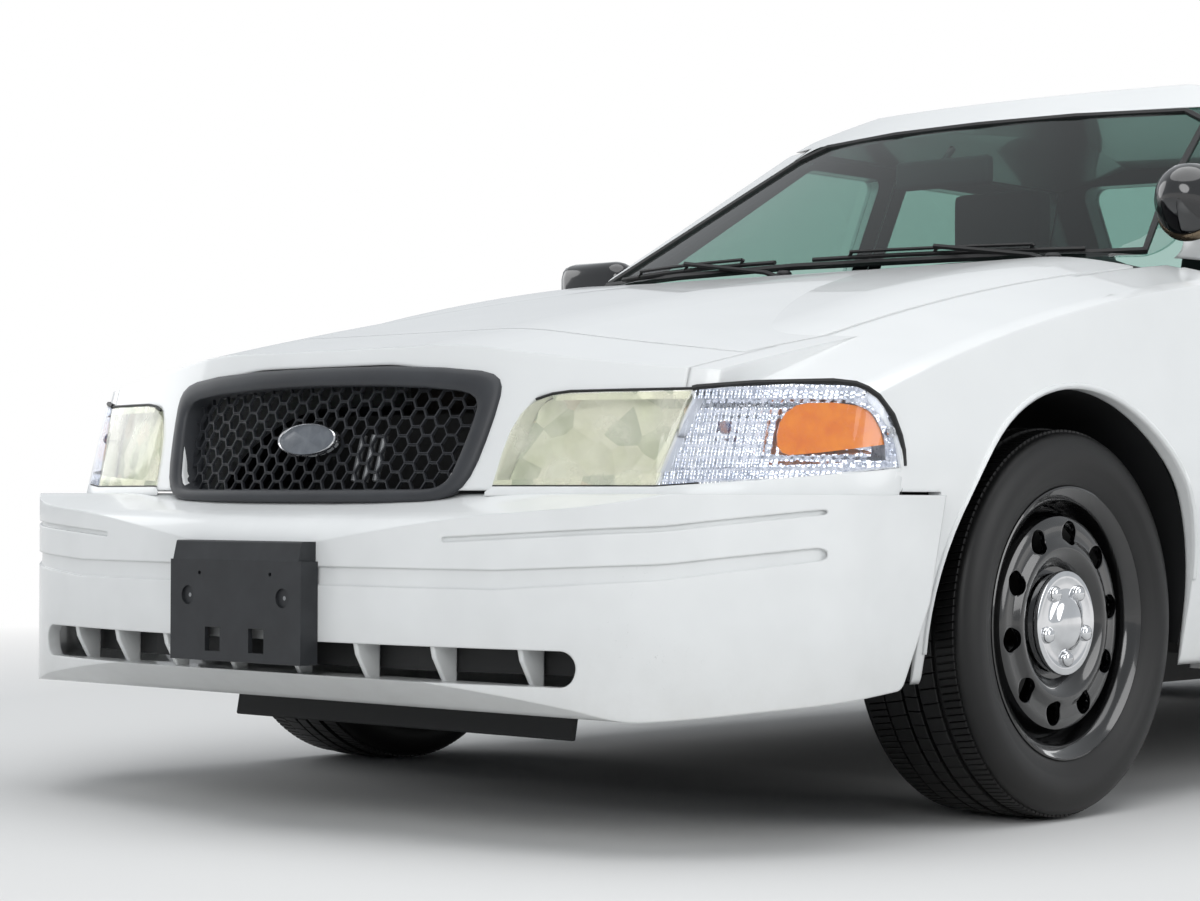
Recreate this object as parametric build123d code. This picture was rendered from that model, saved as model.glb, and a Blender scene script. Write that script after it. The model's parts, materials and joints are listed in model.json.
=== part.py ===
from build123d import *
import math
import os

# Police patrol car: a full-size body-on-frame sedan. Millimetres, +Z up, the front faces -Y, +X is the
# driver's side. The origin is on the ground at the middle of the whole car's box.

# Driving dimensions of the vehicle
LENGTH = 5385.0
WHEELBASE = 2913.0
FRONT_OVERHANG = 1064.0
TRACK_FRONT = 1611.0
TRACK_REAR = 1650.0
BRACKET_PROUD = 35.0
NOSE_Y = BRACKET_PROUD - (LENGTH + BRACKET_PROUD) / 2
FRONT_AXLE = FRONT_OVERHANG
REAR_AXLE = FRONT_OVERHANG + WHEELBASE
TAIL = LENGTH

# Tyres and wheels
TYRE_RADIUS = 338.0
TYRE_WIDTH = 245.0
TREAD_WIDTH = 200.0
TREAD_CROWN = 6.0
RIM_FLANGE_RADIUS = 235.5
RIM_SEAT_RADIUS = 218.0
RIM_WELL_RADIUS = 195.0
RIM_WIDTH = 216.0
RIM_WALL = 8.0
WHEEL_OFFSET = 66.0
VENT_COUNT = 10
VENT_RADIUS = 22.0
VENT_CIRCLE = 157.0
CAP_RADIUS = 91.0
CAP_HEIGHT = 30.0
LUG_COUNT = 5
LUG_CIRCLE = 57.0

# Heights above the ground
ROOF_HEIGHT = 1478.0
BELT_HEIGHT = 975.0
SILL_HEIGHT = 300.0
ROCKER_BOTTOM = 232.0
FLOOR_BOTTOM = 262.0
FLOOR_THICKNESS = 20.0
SHELF_HEIGHT = 985.0
TRUNK_FLOOR = 420.0

# Panel thicknesses and gaps
SIDE_WALL = 120.0
DOOR_THICKNESS = 110.0
HOOD_THICKNESS = 32.0
LID_THICKNESS = 34.0
NOSE_WALL = 30.0
FENDER_WALL = 26.0
BUMPER_WALL = 26.0
ROOF_WALL = 38.0
GLASS_THICKNESS = 5.0
GLASS_INSET = 3.0
LENS_THICKNESS = 14.0
SHUT_LINE = 5.0

# Distances behind the front bumper's nose
HOOD_FRONT = 345.0
HOOD_REAR = 1420.0
FENDER_REAR = 1640.0
B_PILLAR = 2722.0
REAR_DOOR_REAR = 3560.0
BULKHEAD = 3900.0
DECK_FRONT = 4075.0
DECK_REAR = 5240.0

# Wheel openings
ARCH_RADIUS = 390.0
ARCH_HEIGHT = 351.0
ARCH_FORWARD = 14.0
LINER_WALL = 5.0
WELL_INNER = 520.0

SPAN = 4000.0


def at(back):
    """The Y of a point that lies this far behind the front bumper's nose."""
    return NOSE_Y + back


def mirrored(shape):
    return mirror(shape, about=Plane.YZ)


def rounded(points, radii):
    """The lines and arcs of a closed outline, with each corner rounded by its radius."""
    ends = []
    count = len(points)
    for i, (point, radius) in enumerate(zip(points, radii)):
        corner = Vector(*point)
        before = (Vector(*points[i - 1]) - corner).normalized()
        after = (Vector(*points[(i + 1) % count]) - corner).normalized()
        if radius == 0:
            ends.append((corner, None, corner))
            continue
        half = before.get_angle(after) / 2
        reach = radius / math.tan(math.radians(half))
        drop = radius / math.sin(math.radians(half)) - radius
        middle = corner + (before + after).normalized() * drop
        ends.append((corner + before * reach, middle, corner + after * reach))
    edges = []
    for i, (start, middle, end) in enumerate(ends):
        if middle is not None:
            edges.append(ThreePointArc(start, middle, end).edge())
        following = ends[(i + 1) % count][0]
        if (following - end).length > 1e-5:
            edges.append(Line(end, following).edge())
    return make_face(edges)


def box(x0, x1, back0, back1, z0, z1):
    return Pos((x0 + x1) / 2, at((back0 + back1) / 2), (z0 + z1) / 2) * Box(x1 - x0, back1 - back0, z1 - z0)


def grown(outline, grow):
    """A closed outline, rows of (u, v, corner radius), with every edge moved outwards by grow."""
    count = len(outline)
    area = sum(outline[i - 1][0] * outline[i][1] - outline[i][0] * outline[i - 1][1] for i in range(count))
    turn = math.copysign(1, area)
    rows = []
    for i, (u, v, r) in enumerate(outline):
        before, after = outline[i - 1], outline[(i + 1) % count]
        first = math.atan2(v - before[1], u - before[0]) - turn * math.pi / 2
        second = math.atan2(after[1] - v, after[0] - u) - turn * math.pi / 2
        nu, nv = math.cos(first) + math.cos(second), math.sin(first) + math.sin(second)
        scale = grow / (1 + math.cos(first - second))
        rows.append((u + nu * scale, v + nv * scale, r))
    return rows


def side_prism(outline, x0, x1):
    """A side-view outline, rows of (back, height, corner radius), carried across from x0 to x1."""
    face = rounded([(x0, at(b), z) for b, z, r in outline], [r for b, z, r in outline])
    return extrude(face, amount=x1 - x0, dir=(1, 0, 0))


def front_prism(outline, back0, back1):
    """A front-view outline, rows of (x, height, corner radius), carried back from back0 to back1."""
    face = rounded([(x, at(back0), z) for x, z, r in outline], [r for x, z, r in outline])
    return extrude(face, amount=back1 - back0, dir=(0, 1, 0))


def plan_prism(outline, z0, z1, lean=0.0):
    """A plan outline, rows of (x, back, corner radius), carried up; lean is the run back per unit of rise."""
    face = rounded([(x, at(b), z0) for x, b, r in outline], [r for x, b, r in outline])
    return extrude(face, amount=(z1 - z0) * math.hypot(1, lean), dir=(0, lean, 1))


def both_sides(half):
    """A symmetric outline from the rows of its +X half."""
    return half + [(-x, y, r) for x, y, r in reversed(half)]


def cylinder_x(radius, x0, x1, back, height):
    return Pos((x0 + x1) / 2, at(back), height) * Rot(0, 90, 0) * Cylinder(radius, x1 - x0)


# The sides: one section, turned about a far upright axis so that the car narrows towards its ends
# half-width, height, corner radius
SIDE_SECTION = [(912, 232, 40), (980, 590, 300), (928, 930, 0), (900, 1120, 0)]
SIDE_PLAN_RADIUS = 60000.0
SIDE_WIDEST = 2500.0


def side_form(inset):
    rows = [(x - inset, z, r) for x, z, r in SIDE_SECTION]
    floor = rows[0][1] - (200 if inset > 0 else 0)
    rows = [(rows[0][0], floor, rows[0][2]), *rows[1:], (-1600, rows[-1][1], 0), (-1600, floor, 0)]
    face = rounded([(x, at(SIDE_WIDEST), z) for x, z, r in rows], [r for x, z, r in rows])
    pivot = (SIDE_SECTION[1][0] - SIDE_PLAN_RADIUS, at(SIDE_WIDEST), 0)
    axis = Axis(pivot, (0, 0, 1))
    half_turn = math.degrees(math.asin(3100 / SIDE_PLAN_RADIUS))
    side = revolve(face, axis, revolution_arc=2 * half_turn).rotate(axis, -half_turn)
    return side & mirrored(side)


# The tops: each section stands at the highest point of its arch, and turns about a far crosswise axis
# half-width, height, corner radius
FENDER_TOP = [(1425, -700, 0), (936, 988, 75), (640, 1060, 500)]
HOOD_TOP = [(760, -700, 0), (760, 1020, 0), (300, 1096, 900)]
DOOR_TOP = [(1513, -700, 0), (927, 930, 55), (862, 975, 20)]
DECK_TOP = [(1517, -700, 0), (925, 932, 60), (840, 1000, 120), (560, 1044, 500)]
# section, back of the highest point, radius of the arch, from back, to back
TOPS = [
    (FENDER_TOP, 2166.0, 5515.0, -100.0, 1640.0),
    (HOOD_TOP, 2924.0, 13000.0, -100.0, 1640.0),
    (DOOR_TOP, 2600.0, 60000.0, 1639.0, 3960.0),
    (DECK_TOP, 4450.0, 14000.0, 3900.0, 5500.0),
]


def top_form(section, apex, radius, back0, back1, inset):
    rows = both_sides([(x - inset, z - inset if i else z, r) for i, (x, z, r) in enumerate(section)])
    face = rounded([(x, at(apex), z) for x, z, r in rows], [r for x, z, r in rows])
    axis = Axis((0, at(apex), max(z for x, z, r in section) - radius), (1, 0, 0))
    first = math.degrees(math.asin((back0 - 120 - apex) / radius))
    last = math.degrees(math.asin((back1 + 120 - apex) / radius))
    arch = revolve(face, axis, revolution_arc=last - first)
    arch = arch.rotate(axis, -last)
    return arch & box(-SPAN, SPAN, back0, back1, -500, 1400)


def top_forms(inset):
    forms = [top_form(*row, inset) for row in TOPS]
    whole = forms[0]
    for form in forms[1:]:
        whole = whole + form
    return whole


# The nose panel and the lamps share one face, curved in plan and leaning back
NOSE_LEVEL = 647.0
NOSE_LEAN = 0.279
NOSE_PLAN = [(400, 128, 1650), (800, 290, 300), (940, 480, 260), (1010, 1500, 0), (1010, 6500, 0)]
TAIL_PLAN = [(1010, -900, 0), (1010, 4700, 300), (930, 5150, 160), (640, 5300, 700), (250, 5330, 2000)]
TAIL_LEAN = -0.06
TAIL_LEVEL = 640.0


def nose_prism(inset):
    z0 = 100.0
    shift = (z0 - NOSE_LEVEL) * NOSE_LEAN
    half = [(x - inset if x > 900 else x, b + inset + shift, r) for x, b, r in NOSE_PLAN]
    return plan_prism(both_sides(half), z0, 1300, NOSE_LEAN)


def tail_prism(inset):
    z0 = 100.0
    shift = (z0 - TAIL_LEVEL) * TAIL_LEAN
    half = [(x - inset if x > 900 else x, b - inset + shift, r) for x, b, r in TAIL_PLAN]
    return plan_prism(both_sides(half), z0, 1300, TAIL_LEAN)


# Front bumper: a plan curve cut by a side profile
BUMPER_PLAN = [(330, 0, 2400), (760, 105, 330), (942, 380, 260), (960, 640, 0), (960, 720, 0)]
BUMPER_PROFILE = [(-2, 275, 60), (-2, 510, 80), (150, 557, 60), (631, 557, 0), (590, 385, 60), (521, 250, 25),
                  (110, 208, 60)]
BUMPER_TOP = 557.0
BUMPER_REAR = 631.0
# Front-view outlines of half the sunk band and of the line above it, which climb towards the wheels
BAND_LOW = [(520, 408, 0), (780, 426, 300), (925, 456, 8)]
BAND_HIGH = [(925, 476, 8), (780, 450, 300), (520, 438, 0)]
LINE_CUT = [(420, 480, 3), (780, 500, 300), (925, 526, 3), (925, 534, 3), (780, 508, 300), (420, 488, 3)]
GROOVE_DEPTH = 5.0
INTAKE_LOW = 256.0
INTAKE_HIGH = 316.0
INTAKE = [(652, INTAKE_LOW + 4, 26), (668, INTAKE_HIGH, 26)]
# x of each strake, and how far back the cover's face lies there
STRAKES = [(81, 0), (240, 3), (397, 22), (555, 56)]
STRAKE_WIDTH = 10.0
LIP_DEPTH = 60.0


def bumper_plan(inset, z0, z1):
    half = [(x - inset if x > 900 else x, b + inset, r) for x, b, r in BUMPER_PLAN]
    return plan_prism(both_sides(half), z0, z1)


def bumper_profile(inset):
    mid_back, mid_z = 300, 400
    rows = [(b + inset * (1 if b < mid_back else 0), z + math.copysign(inset, mid_z - z), r)
            for b, z, r in BUMPER_PROFILE]
    return side_prism(rows, -1100, 1100)


def front_bumper():
    inner_plan = bumper_plan(BUMPER_WALL, 100, 700)
    cover = (bumper_plan(0, 150, 600) & bumper_profile(0)) - (inner_plan & bumper_profile(BUMPER_WALL))
    cover -= inner_plan & box(-SPAN, SPAN, 400, 900, 150, BUMPER_TOP - BUMPER_WALL)
    layer = (bumper_plan(0, 120, 690) & bumper_profile(0)) - (bumper_plan(GROOVE_DEPTH, 110, 700) & bumper_profile(GROOVE_DEPTH))
    half_band = BAND_LOW + BAND_HIGH
    band = front_prism(half_band + [(-x, z, r) for x, z, r in reversed(half_band)], -300, 600)
    line = front_prism(LINE_CUT, -300, 600)
    for groove in (band, line, mirrored(line)):
        cover -= layer & groove
    cover -= front_prism(both_sides(INTAKE), -200, 400)
    for place, face in STRAKES:
        rows = [(face + 10, INTAKE_HIGH + 8, 0), (face + 16, INTAKE_HIGH - 18, 0), (face + 44, INTAKE_LOW - 6, 0),
                (face + 62, INTAKE_LOW - 6, 0), (face + 62, INTAKE_HIGH + 8, 0)]
        strake = side_prism(rows, place - STRAKE_WIDTH / 2, place + STRAKE_WIDTH / 2)
        cover += strake
        cover += mirrored(strake)
    return cover


REAR_BUMPER_PLAN = [(1004, 4300, 0), (1004, 4600, 300), (962, 5160, 170), (650, TAIL - 35, 700), (250, TAIL, 2200)]
REAR_BUMPER_PROFILE = [(4385, 300, 40), (TAIL, 290, 70), (TAIL, 560, 50), (5300, 660, 60), (4385, 655, 0)]
REAR_BUMPER_TOP = 655.0
REAR_BUMPER_FRONT = 4385.0


def rear_bumper_plan(inset, z0, z1):
    half = [(x - inset if x > 900 else x, b - inset, r) for x, b, r in REAR_BUMPER_PLAN]
    return plan_prism(both_sides(half), z0, z1)


def rear_bumper():
    outer = rear_bumper_plan(0, 250, 700) & side_prism(REAR_BUMPER_PROFILE, -1100, 1100) & side_form(-3)
    inner = rear_bumper_plan(BUMPER_WALL, 200, REAR_BUMPER_TOP - BUMPER_WALL) & side_form(BUMPER_WALL)
    return outer - inner


# Greenhouse: leaning windscreen and backlight, side glass that tips inwards, and an arched roof
SCREEN_BASE = 1423.0
SCREEN_LEVEL = 1010.0
SCREEN_RUN = 1.84
SCREEN_RADIUS = 1373.0
BACKLIGHT_BASE = 4085.0
BACKLIGHT_LEVEL = 1030.0
BACKLIGHT_RUN = 1.62
BACKLIGHT_RADIUS = 2200.0
HOUSE_LOW = 925.0
HOUSE_SECTION = [(876, HOUSE_LOW, 0), (646, 1415, 75), (330, ROOF_HEIGHT, 900)]
ROOF_ARCH_RADIUS = 8200.0
ROOF_ARCH_TOP = 2860.0


def screen_wedge(radius, base, level, run, direction):
    """All that lies behind the windscreen, or with direction -1 ahead of the backlight."""
    half = 1000.0
    sag = radius - math.sqrt(radius ** 2 - half ** 2)
    low = 850.0
    foot = base - direction * (level - low) * run
    arc = ThreePointArc((-half, at(foot + direction * sag), low), (0, at(foot), low),
                        (half, at(foot + direction * sag), low))
    far = at(foot + direction * 3600)
    rest = Polyline((half, at(foot + direction * sag), low), (half, far, low), (-half, far, low),
                    (-half, at(foot + direction * sag), low))
    face = make_face([arc.edge(), *rest.edges()])
    return extrude(face, amount=700 * math.hypot(1, run), dir=(0, direction * run, 1))


def greenhouse(inset):
    front_shift = inset * math.hypot(1, SCREEN_RUN)
    rear_shift = inset * math.hypot(1, BACKLIGHT_RUN)
    block = screen_wedge(SCREEN_RADIUS, SCREEN_BASE + front_shift, SCREEN_LEVEL, SCREEN_RUN, 1)
    block &= screen_wedge(BACKLIGHT_RADIUS, BACKLIGHT_BASE - rear_shift, BACKLIGHT_LEVEL, BACKLIGHT_RUN, -1)
    half = [(x - inset, z - (inset if z > HOUSE_LOW else 0), r) for x, z, r in HOUSE_SECTION]
    block &= front_prism(both_sides(half), 500, 5500)
    crest = ROOF_HEIGHT - inset
    arch = Pos(0, at(ROOF_ARCH_TOP), crest - ROOF_ARCH_RADIUS) * Rot(0, 90, 0) * Cylinder(ROOF_ARCH_RADIUS, 2400)
    return block & arch


# Panels of the body skin
COWL_DROP = 14.0
LENS_INSET = 2.0
HEADLAMP = [(424, 570, 12), (690, 582, 6), (728, 714, 6), (462, 716, 40)]
TURN_LAMP = [(696, 582, 6), (1020, 598, 0), (1020, 716, 0), (734, 716, 6)]
TURN_LAMP_SIDE = [(50, 500, 0), (532, 590, 12), (516, 650, 40), (462, 720, 30), (50, 760, 0)]
TAIL_LAMP = [(625, 740, 20), (1020, 740, 0), (1020, 905, 0), (625, 925, 20)]
GRILLE_OUTER = [(330, 561, 50), (388, 744, 42), (170, 772, 500)]
GRILLE_INNER = [(296, 582, 46), (346, 722, 34), (170, 741, 500)]
SURROUND_PROUD = 6.0
SURROUND_DEPTH = 34.0
MESH_DEPTH = 22.0
MESH_WALL = 8.0
HEX_PITCH_X = 26.0
HEX_PITCH_Z = 30.0
HEX_CELL = 15.0
BRACKET_HALF = 164.0
BRACKET_LOW = 278.0
BRACKET_HIGH = 446.0
PLATE_HOLE_SPACING = 177.8
PLATE_HOLE_RADIUS = 3.5
PLATE_HOLE_HEIGHT = 424.0
SCREW_X = 119.0
SCREW_HEIGHT = 386.0
SCREW_RECESS = 16.0
RAIL_IN = 420.0
RAIL_OUT = 490.0
HUB_BORE = 35.3
KINGPIN_X = 745.0
KINGPIN_RADIUS = 26.0
SEAT_STEP = 510.0
SEAT_X = 375.0
SEAT_HALF = 215.0
STEER_X = 370.0
STEER_BACK = 2060.0
STEER_HEIGHT = 880.0
STEER_RADIUS = 185.0
MIRROR_X = 1010.0
MIRROR_BACK = 1960.0
MIRROR_HEIGHT = 1062.0
SPOT_X = 812.0
SPOT_BACK = 1640.0
SPOT_HEIGHT = 1128.0
HOOD_PLAN = [(350, HOOD_FRONT, 1900), (702, 432, 10), (772, 1530, 20), (330, 1372, 1200)]
LID_PLAN = [(560, 4135, 60), (690, 4300, 200), (600, 5500, 0)]
LID_BOTTOM = 700.0
COWL_REAR = 1800.0
NOSE_PANEL_HALF = 712.0
# Side-view outlines of the doors, as seen at the skin: back, height, corner radius
DOOR_LEAN = 0.12
FRAME_LEAN = 0.45
SKIN_X = 975.0
FRAME_X = 850.0
FRONT_DOOR = [(1646, SILL_HEIGHT, 50), (2716, SILL_HEIGHT, 25), (2716, 1100, 0), (1646, 1100, 0)]
FRONT_FRAME = [(1790, 900, 0), (2716, 900, 0), (2766, 1390, 30), (2375, 1390, 60), (1790, 1050, 60)]
FRONT_WINDOW = [(1925, 1000, 25), (2665, 1000, 20), (2705, 1352, 25), (2420, 1352, 60), (1925, 1055, 30)]
REAR_DOOR = [(2722, SILL_HEIGHT, 25), (3420, SILL_HEIGHT, 150), (3556, 480, 150), (3580, 800, 0), (3580, 1100, 0),
             (2722, 1100, 0)]
REAR_FRAME = [(2722, 900, 0), (3590, 900, 0), (3575, 1000, 60), (3500, 1390, 70), (2772, 1390, 30)]
REAR_WINDOW = [(2780, 1000, 20), (3510, 1000, 60), (3450, 1352, 50), (2820, 1352, 25)]
# name, door outline, frame outline, window outline, hinge back
DOORS = [
    ("front", FRONT_DOOR, FRONT_FRAME, FRONT_WINDOW),
    ("rear", REAR_DOOR, REAR_FRAME, REAR_WINDOW),
]
PANE_DEPTH = 10.0
SCREEN_OPENING = [(745, 1022, 30), (560, 1392, 60)]
FRAME_IN = 590.0


def leaning_prism(outline, x_ref, lean, x0, x1, grow=0.0):
    """A side-view outline that shifts back as it goes outwards, so that a door's edges clear as it swings."""
    rows = grown(outline, grow)
    shift = (x0 - x_ref) * lean
    face = rounded([(x0, at(b + shift), z) for b, z, r in rows], [r for b, z, r in rows])
    return extrude(face, amount=(x1 - x0) * math.hypot(1, lean), dir=(1, lean, 0))


def arch_hole(axle, x0=WELL_INNER, x1=1100.0):
    middle = axle - (ARCH_FORWARD if axle == FRONT_AXLE else 0)
    tube = cylinder_x(ARCH_RADIUS, x0, x1, middle, ARCH_HEIGHT)
    return tube + box(x0, x1, middle - ARCH_RADIUS, middle + ARCH_RADIUS, 0, ARCH_HEIGHT)


def plan_of(outline, grow, z0, z1):
    return plan_prism(grown(both_sides(outline), grow), z0, z1)


def glazing(radius, base, level, run, direction):
    """The layer of glass just under a windscreen or backlight face."""
    reach = math.hypot(1, run) * direction
    outer = screen_wedge(radius, base + GLASS_INSET * reach, level, run, direction)
    inner = screen_wedge(radius, base + (GLASS_INSET + GLASS_THICKNESS) * reach, level, run, direction)
    return outer - inner


parts = {}

body_outer = side_form(0) & top_forms(0) & nose_prism(0) & tail_prism(0)
body_inner = side_form(FENDER_WALL) & top_forms(FENDER_WALL) & nose_prism(NOSE_WALL) & tail_prism(NOSE_WALL)
skin = body_outer - body_inner
house_outer = greenhouse(0)
house_inner = greenhouse(ROOF_WALL)
house_shell = (house_outer - house_inner) - body_outer

# Doors, frames and glass
door_cuts = []
frame_cuts = []
screen_zone = front_prism(grown(both_sides(SCREEN_OPENING), SHUT_LINE), 800, 2420)
for name, outline, frame, window in DOORS:
    inner_side = side_form(DOOR_THICKNESS)
    lower = (body_outer - inner_side) & leaning_prism(outline, SKIN_X, DOOR_LEAN, 600, 1100)
    frame_prism = leaning_prism(frame, FRAME_X, FRAME_LEAN, FRAME_IN, 1100)
    window_prism = leaning_prism(window, FRAME_X, FRAME_LEAN, 500, 1100)
    upper = (house_shell & frame_prism) - window_prism - screen_zone
    door = lower + upper
    pane = (greenhouse(PANE_DEPTH) - greenhouse(PANE_DEPTH + GLASS_THICKNESS)) & window_prism
    parts[f"door_{name}_left"] = door
    parts[f"door_{name}_right"] = mirrored(door)
    parts[f"glass_{name}_left"] = pane
    parts[f"glass_{name}_right"] = mirrored(pane)
    hole = leaning_prism(outline, SKIN_X, DOOR_LEAN, 600, 1100, SHUT_LINE) & box(600, 1100, 0, 6000, 0, BELT_HEIGHT)
    hole += leaning_prism(frame, FRAME_X, FRAME_LEAN, FRAME_IN, 1100, SHUT_LINE) & box(500, 1100, 0, 6000, BELT_HEIGHT, 1600)
    door_cuts += [hole, mirrored(hole)]
    low_hole = leaning_prism(outline, SKIN_X, DOOR_LEAN, 600, 1100, SHUT_LINE)
    frame_hole = leaning_prism(frame, FRAME_X, FRAME_LEAN, FRAME_IN - 15, 1100, SHUT_LINE)
    frame_cuts += [(low_hole, frame_hole)]

# Roof with its pillars, windscreen and rear glass
BACK_OPENING = [(700, 1050, 60), (520, 1392, 70)]
roof = house_shell
for low_hole, frame_hole in frame_cuts:
    roof = roof - frame_hole - mirrored(frame_hole)
screen_hole = front_prism(both_sides(SCREEN_OPENING), 800, 2420)
back_hole = front_prism(both_sides(BACK_OPENING), 3200, 4400)
roof -= screen_hole
roof -= back_hole
parts["roof"] = max(roof.solids(), key=lambda solid: solid.volume)
screen_face = (SCREEN_RADIUS, SCREEN_BASE, SCREEN_LEVEL, SCREEN_RUN, 1)
back_face = (BACKLIGHT_RADIUS, BACKLIGHT_BASE, BACKLIGHT_LEVEL, BACKLIGHT_RUN, -1)
parts["windscreen"] = glazing(*screen_face) & screen_hole
parts["rear_glass"] = glazing(*back_face) & back_hole

# Hood and trunk lid
hood_skin = (top_forms(0) - top_forms(HOOD_THICKNESS)) & side_form(0) & nose_prism(0)
parts["hood"] = hood_skin & plan_of(HOOD_PLAN, 0, 500, 1200)
lid_inner = top_forms(LID_THICKNESS) & side_form(LID_THICKNESS) & tail_prism(LID_THICKNESS)
lid_zone = plan_of(LID_PLAN, 0, LID_BOTTOM, 1200)
parts["trunk_lid"] = (body_outer - lid_inner) & lid_zone


def both(shapes):
    """The given shapes and their mirror images as one compound of solids."""
    solids = []
    for shape in shapes:
        solids += shape.solids()
        solids += mirrored(shape).solids()
    return Compound(solids)


# Fenders, nose panel and body sides
hood_zone = plan_of(HOOD_PLAN, SHUT_LINE, 400, 1300)
lid_zone_cut = plan_of(LID_PLAN, SHUT_LINE, LID_BOTTOM - SHUT_LINE, 1300)
bumper_zone = box(-SPAN, SPAN, -400, BUMPER_REAR + SHUT_LINE, 0, BUMPER_TOP + SHUT_LINE)
rear_bumper_zone = box(-SPAN, SPAN, REAR_BUMPER_FRONT - SHUT_LINE, 6000, 0, REAR_BUMPER_TOP + SHUT_LINE)
front_hole = arch_hole(FRONT_AXLE)
rear_hole = arch_hole(REAR_AXLE)
headlamp_zone = front_prism(HEADLAMP, -200, 620)
turn_zone = front_prism(TURN_LAMP, -200, 620) & side_prism(TURN_LAMP_SIDE, 0, 1100)
lamp_zones = headlamp_zone + turn_zone
tail_lamp_zone = front_prism(TAIL_LAMP, 5000, 5500)
grille_zone = front_prism(both_sides(GRILLE_OUTER), -300, 620)
grille_hole = front_prism(both_sides(GRILLE_INNER), -300, 620)

nose_box = box(-NOSE_PANEL_HALF, NOSE_PANEL_HALF, -300, 500, 0, 1300)
nose_panel = (skin & nose_box) - hood_zone - bumper_zone - grille_zone - lamp_zones - mirrored(lamp_zones)
parts["nose_panel"] = nose_panel

fender = skin & box(0, SPAN, -300, FENDER_REAR, 0, 1300)
fender -= box(0, NOSE_PANEL_HALF + 2, -300, 500, 0, 1300)
for cut in (hood_zone, bumper_zone, front_hole, lamp_zones, box(0, 776, 1300, 2000, 0, 1300), frame_cuts[0][0]):
    fender -= cut
parts["fender_left"] = fender
parts["fender_right"] = mirrored(fender)

side_inner = side_form(SIDE_WALL)
rocker = (body_outer & box(500, SPAN, FENDER_REAR + 3, 3579, 0, SILL_HEIGHT - SHUT_LINE)) - side_inner
dog_leg = (body_outer & box(500, SPAN, 3380, 3579, SILL_HEIGHT - SHUT_LINE, BELT_HEIGHT)) - side_inner
quarter = skin & box(0, SPAN, 3520, 6000, 0, 1300)
post = (box(500, SPAN, 2655, 2790, 284, BELT_HEIGHT - 10) & side_form(SIDE_WALL + 6)) - side_form(SIDE_WALL + 32)
post_foot = (box(500, SPAN, 2655, 2790, 284, SILL_HEIGHT - SHUT_LINE) & side_form(SIDE_WALL - 12)) - side_form(SIDE_WALL + 32)
side = rocker + dog_leg + quarter + (post + post_foot)
for cut in (door_cuts[2], rear_hole, lid_zone_cut, rear_bumper_zone, tail_lamp_zone,
            box(-SPAN, 690, 3000, 4350, 600, 1300), box(-SPAN, 842, 3000, 3980, 800, 1300)):
    side -= cut
parts["side_frame_left"] = side
parts["side_frame_right"] = mirrored(side)

cowl = (top_forms(COWL_DROP) - top_forms(COWL_DROP + 25)) & box(-758, 758, 1380, 1636, 500, 1200)
cowl -= hood_zone
parts["cowl"] = max(cowl.solids(), key=lambda solid: solid.volume)
deck_strip = skin & box(-688, 688, 3985, 4348, 900, 1200)
deck_strip -= lid_zone_cut
shelf = box(-780, 780, 3800, 4060, 935, 955)
seat_wall = box(-640, 640, BULKHEAD, BULKHEAD + 15, SEAT_STEP + 20, 935)
link = box(-640, 640, 4045, 4060, 955, 1010)
parts["rear_shelf"] = deck_strip + shelf + seat_wall + link

parts["front_bumper"] = front_bumper() - box(-700, 700, 220, 900, 500, 600)
parts["rear_bumper"] = rear_bumper() - box(-880, 880, 4300, 5230, 600, 700)

# Lamps
def lamp_shell(inset):
    return side_form(inset) & top_forms(inset) & nose_prism(inset) & tail_prism(inset)


lens_layer = lamp_shell(LENS_INSET) - lamp_shell(LENS_INSET + LENS_THICKNESS)
head_lens = lens_layer & headlamp_zone
turn_lens = lens_layer & turn_zone
tail_lens = lens_layer & tail_lamp_zone
parts["headlamps"] = both([head_lens])
parts["turn_lamps"] = both([turn_lens])
parts["tail_lamps"] = both([tail_lens])

# Grille
surround = (nose_prism(-SURROUND_PROUD) - nose_prism(SURROUND_DEPTH)) & grille_zone
parts["grille_surround"] = surround - grille_hole
mesh_low, mesh_high, mesh_half = GRILLE_INNER[0][1], GRILLE_INNER[-1][1], GRILLE_INNER[1][0]
cells = []
for i in range(-round(mesh_half / HEX_PITCH_X), round(mesh_half / HEX_PITCH_X) + 1):
    for j in range(round((mesh_high - mesh_low) / HEX_PITCH_Z) + 1):
        z = mesh_low + (j + (0.5 if i % 2 else 0)) * HEX_PITCH_Z
        cell = Plane(origin=(i * HEX_PITCH_X, at(-300), z), x_dir=(1, 0, 0), z_dir=(0, -1, 0)) * RegularPolygon(HEX_CELL, 6)
        cells.append(extrude(cell, amount=900, dir=(0, 1, 0)).solid())
web = (nose_prism(MESH_DEPTH) - nose_prism(MESH_DEPTH + MESH_WALL)) & grille_hole
parts["grille_mesh"] = web.cut(*cells)

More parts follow.
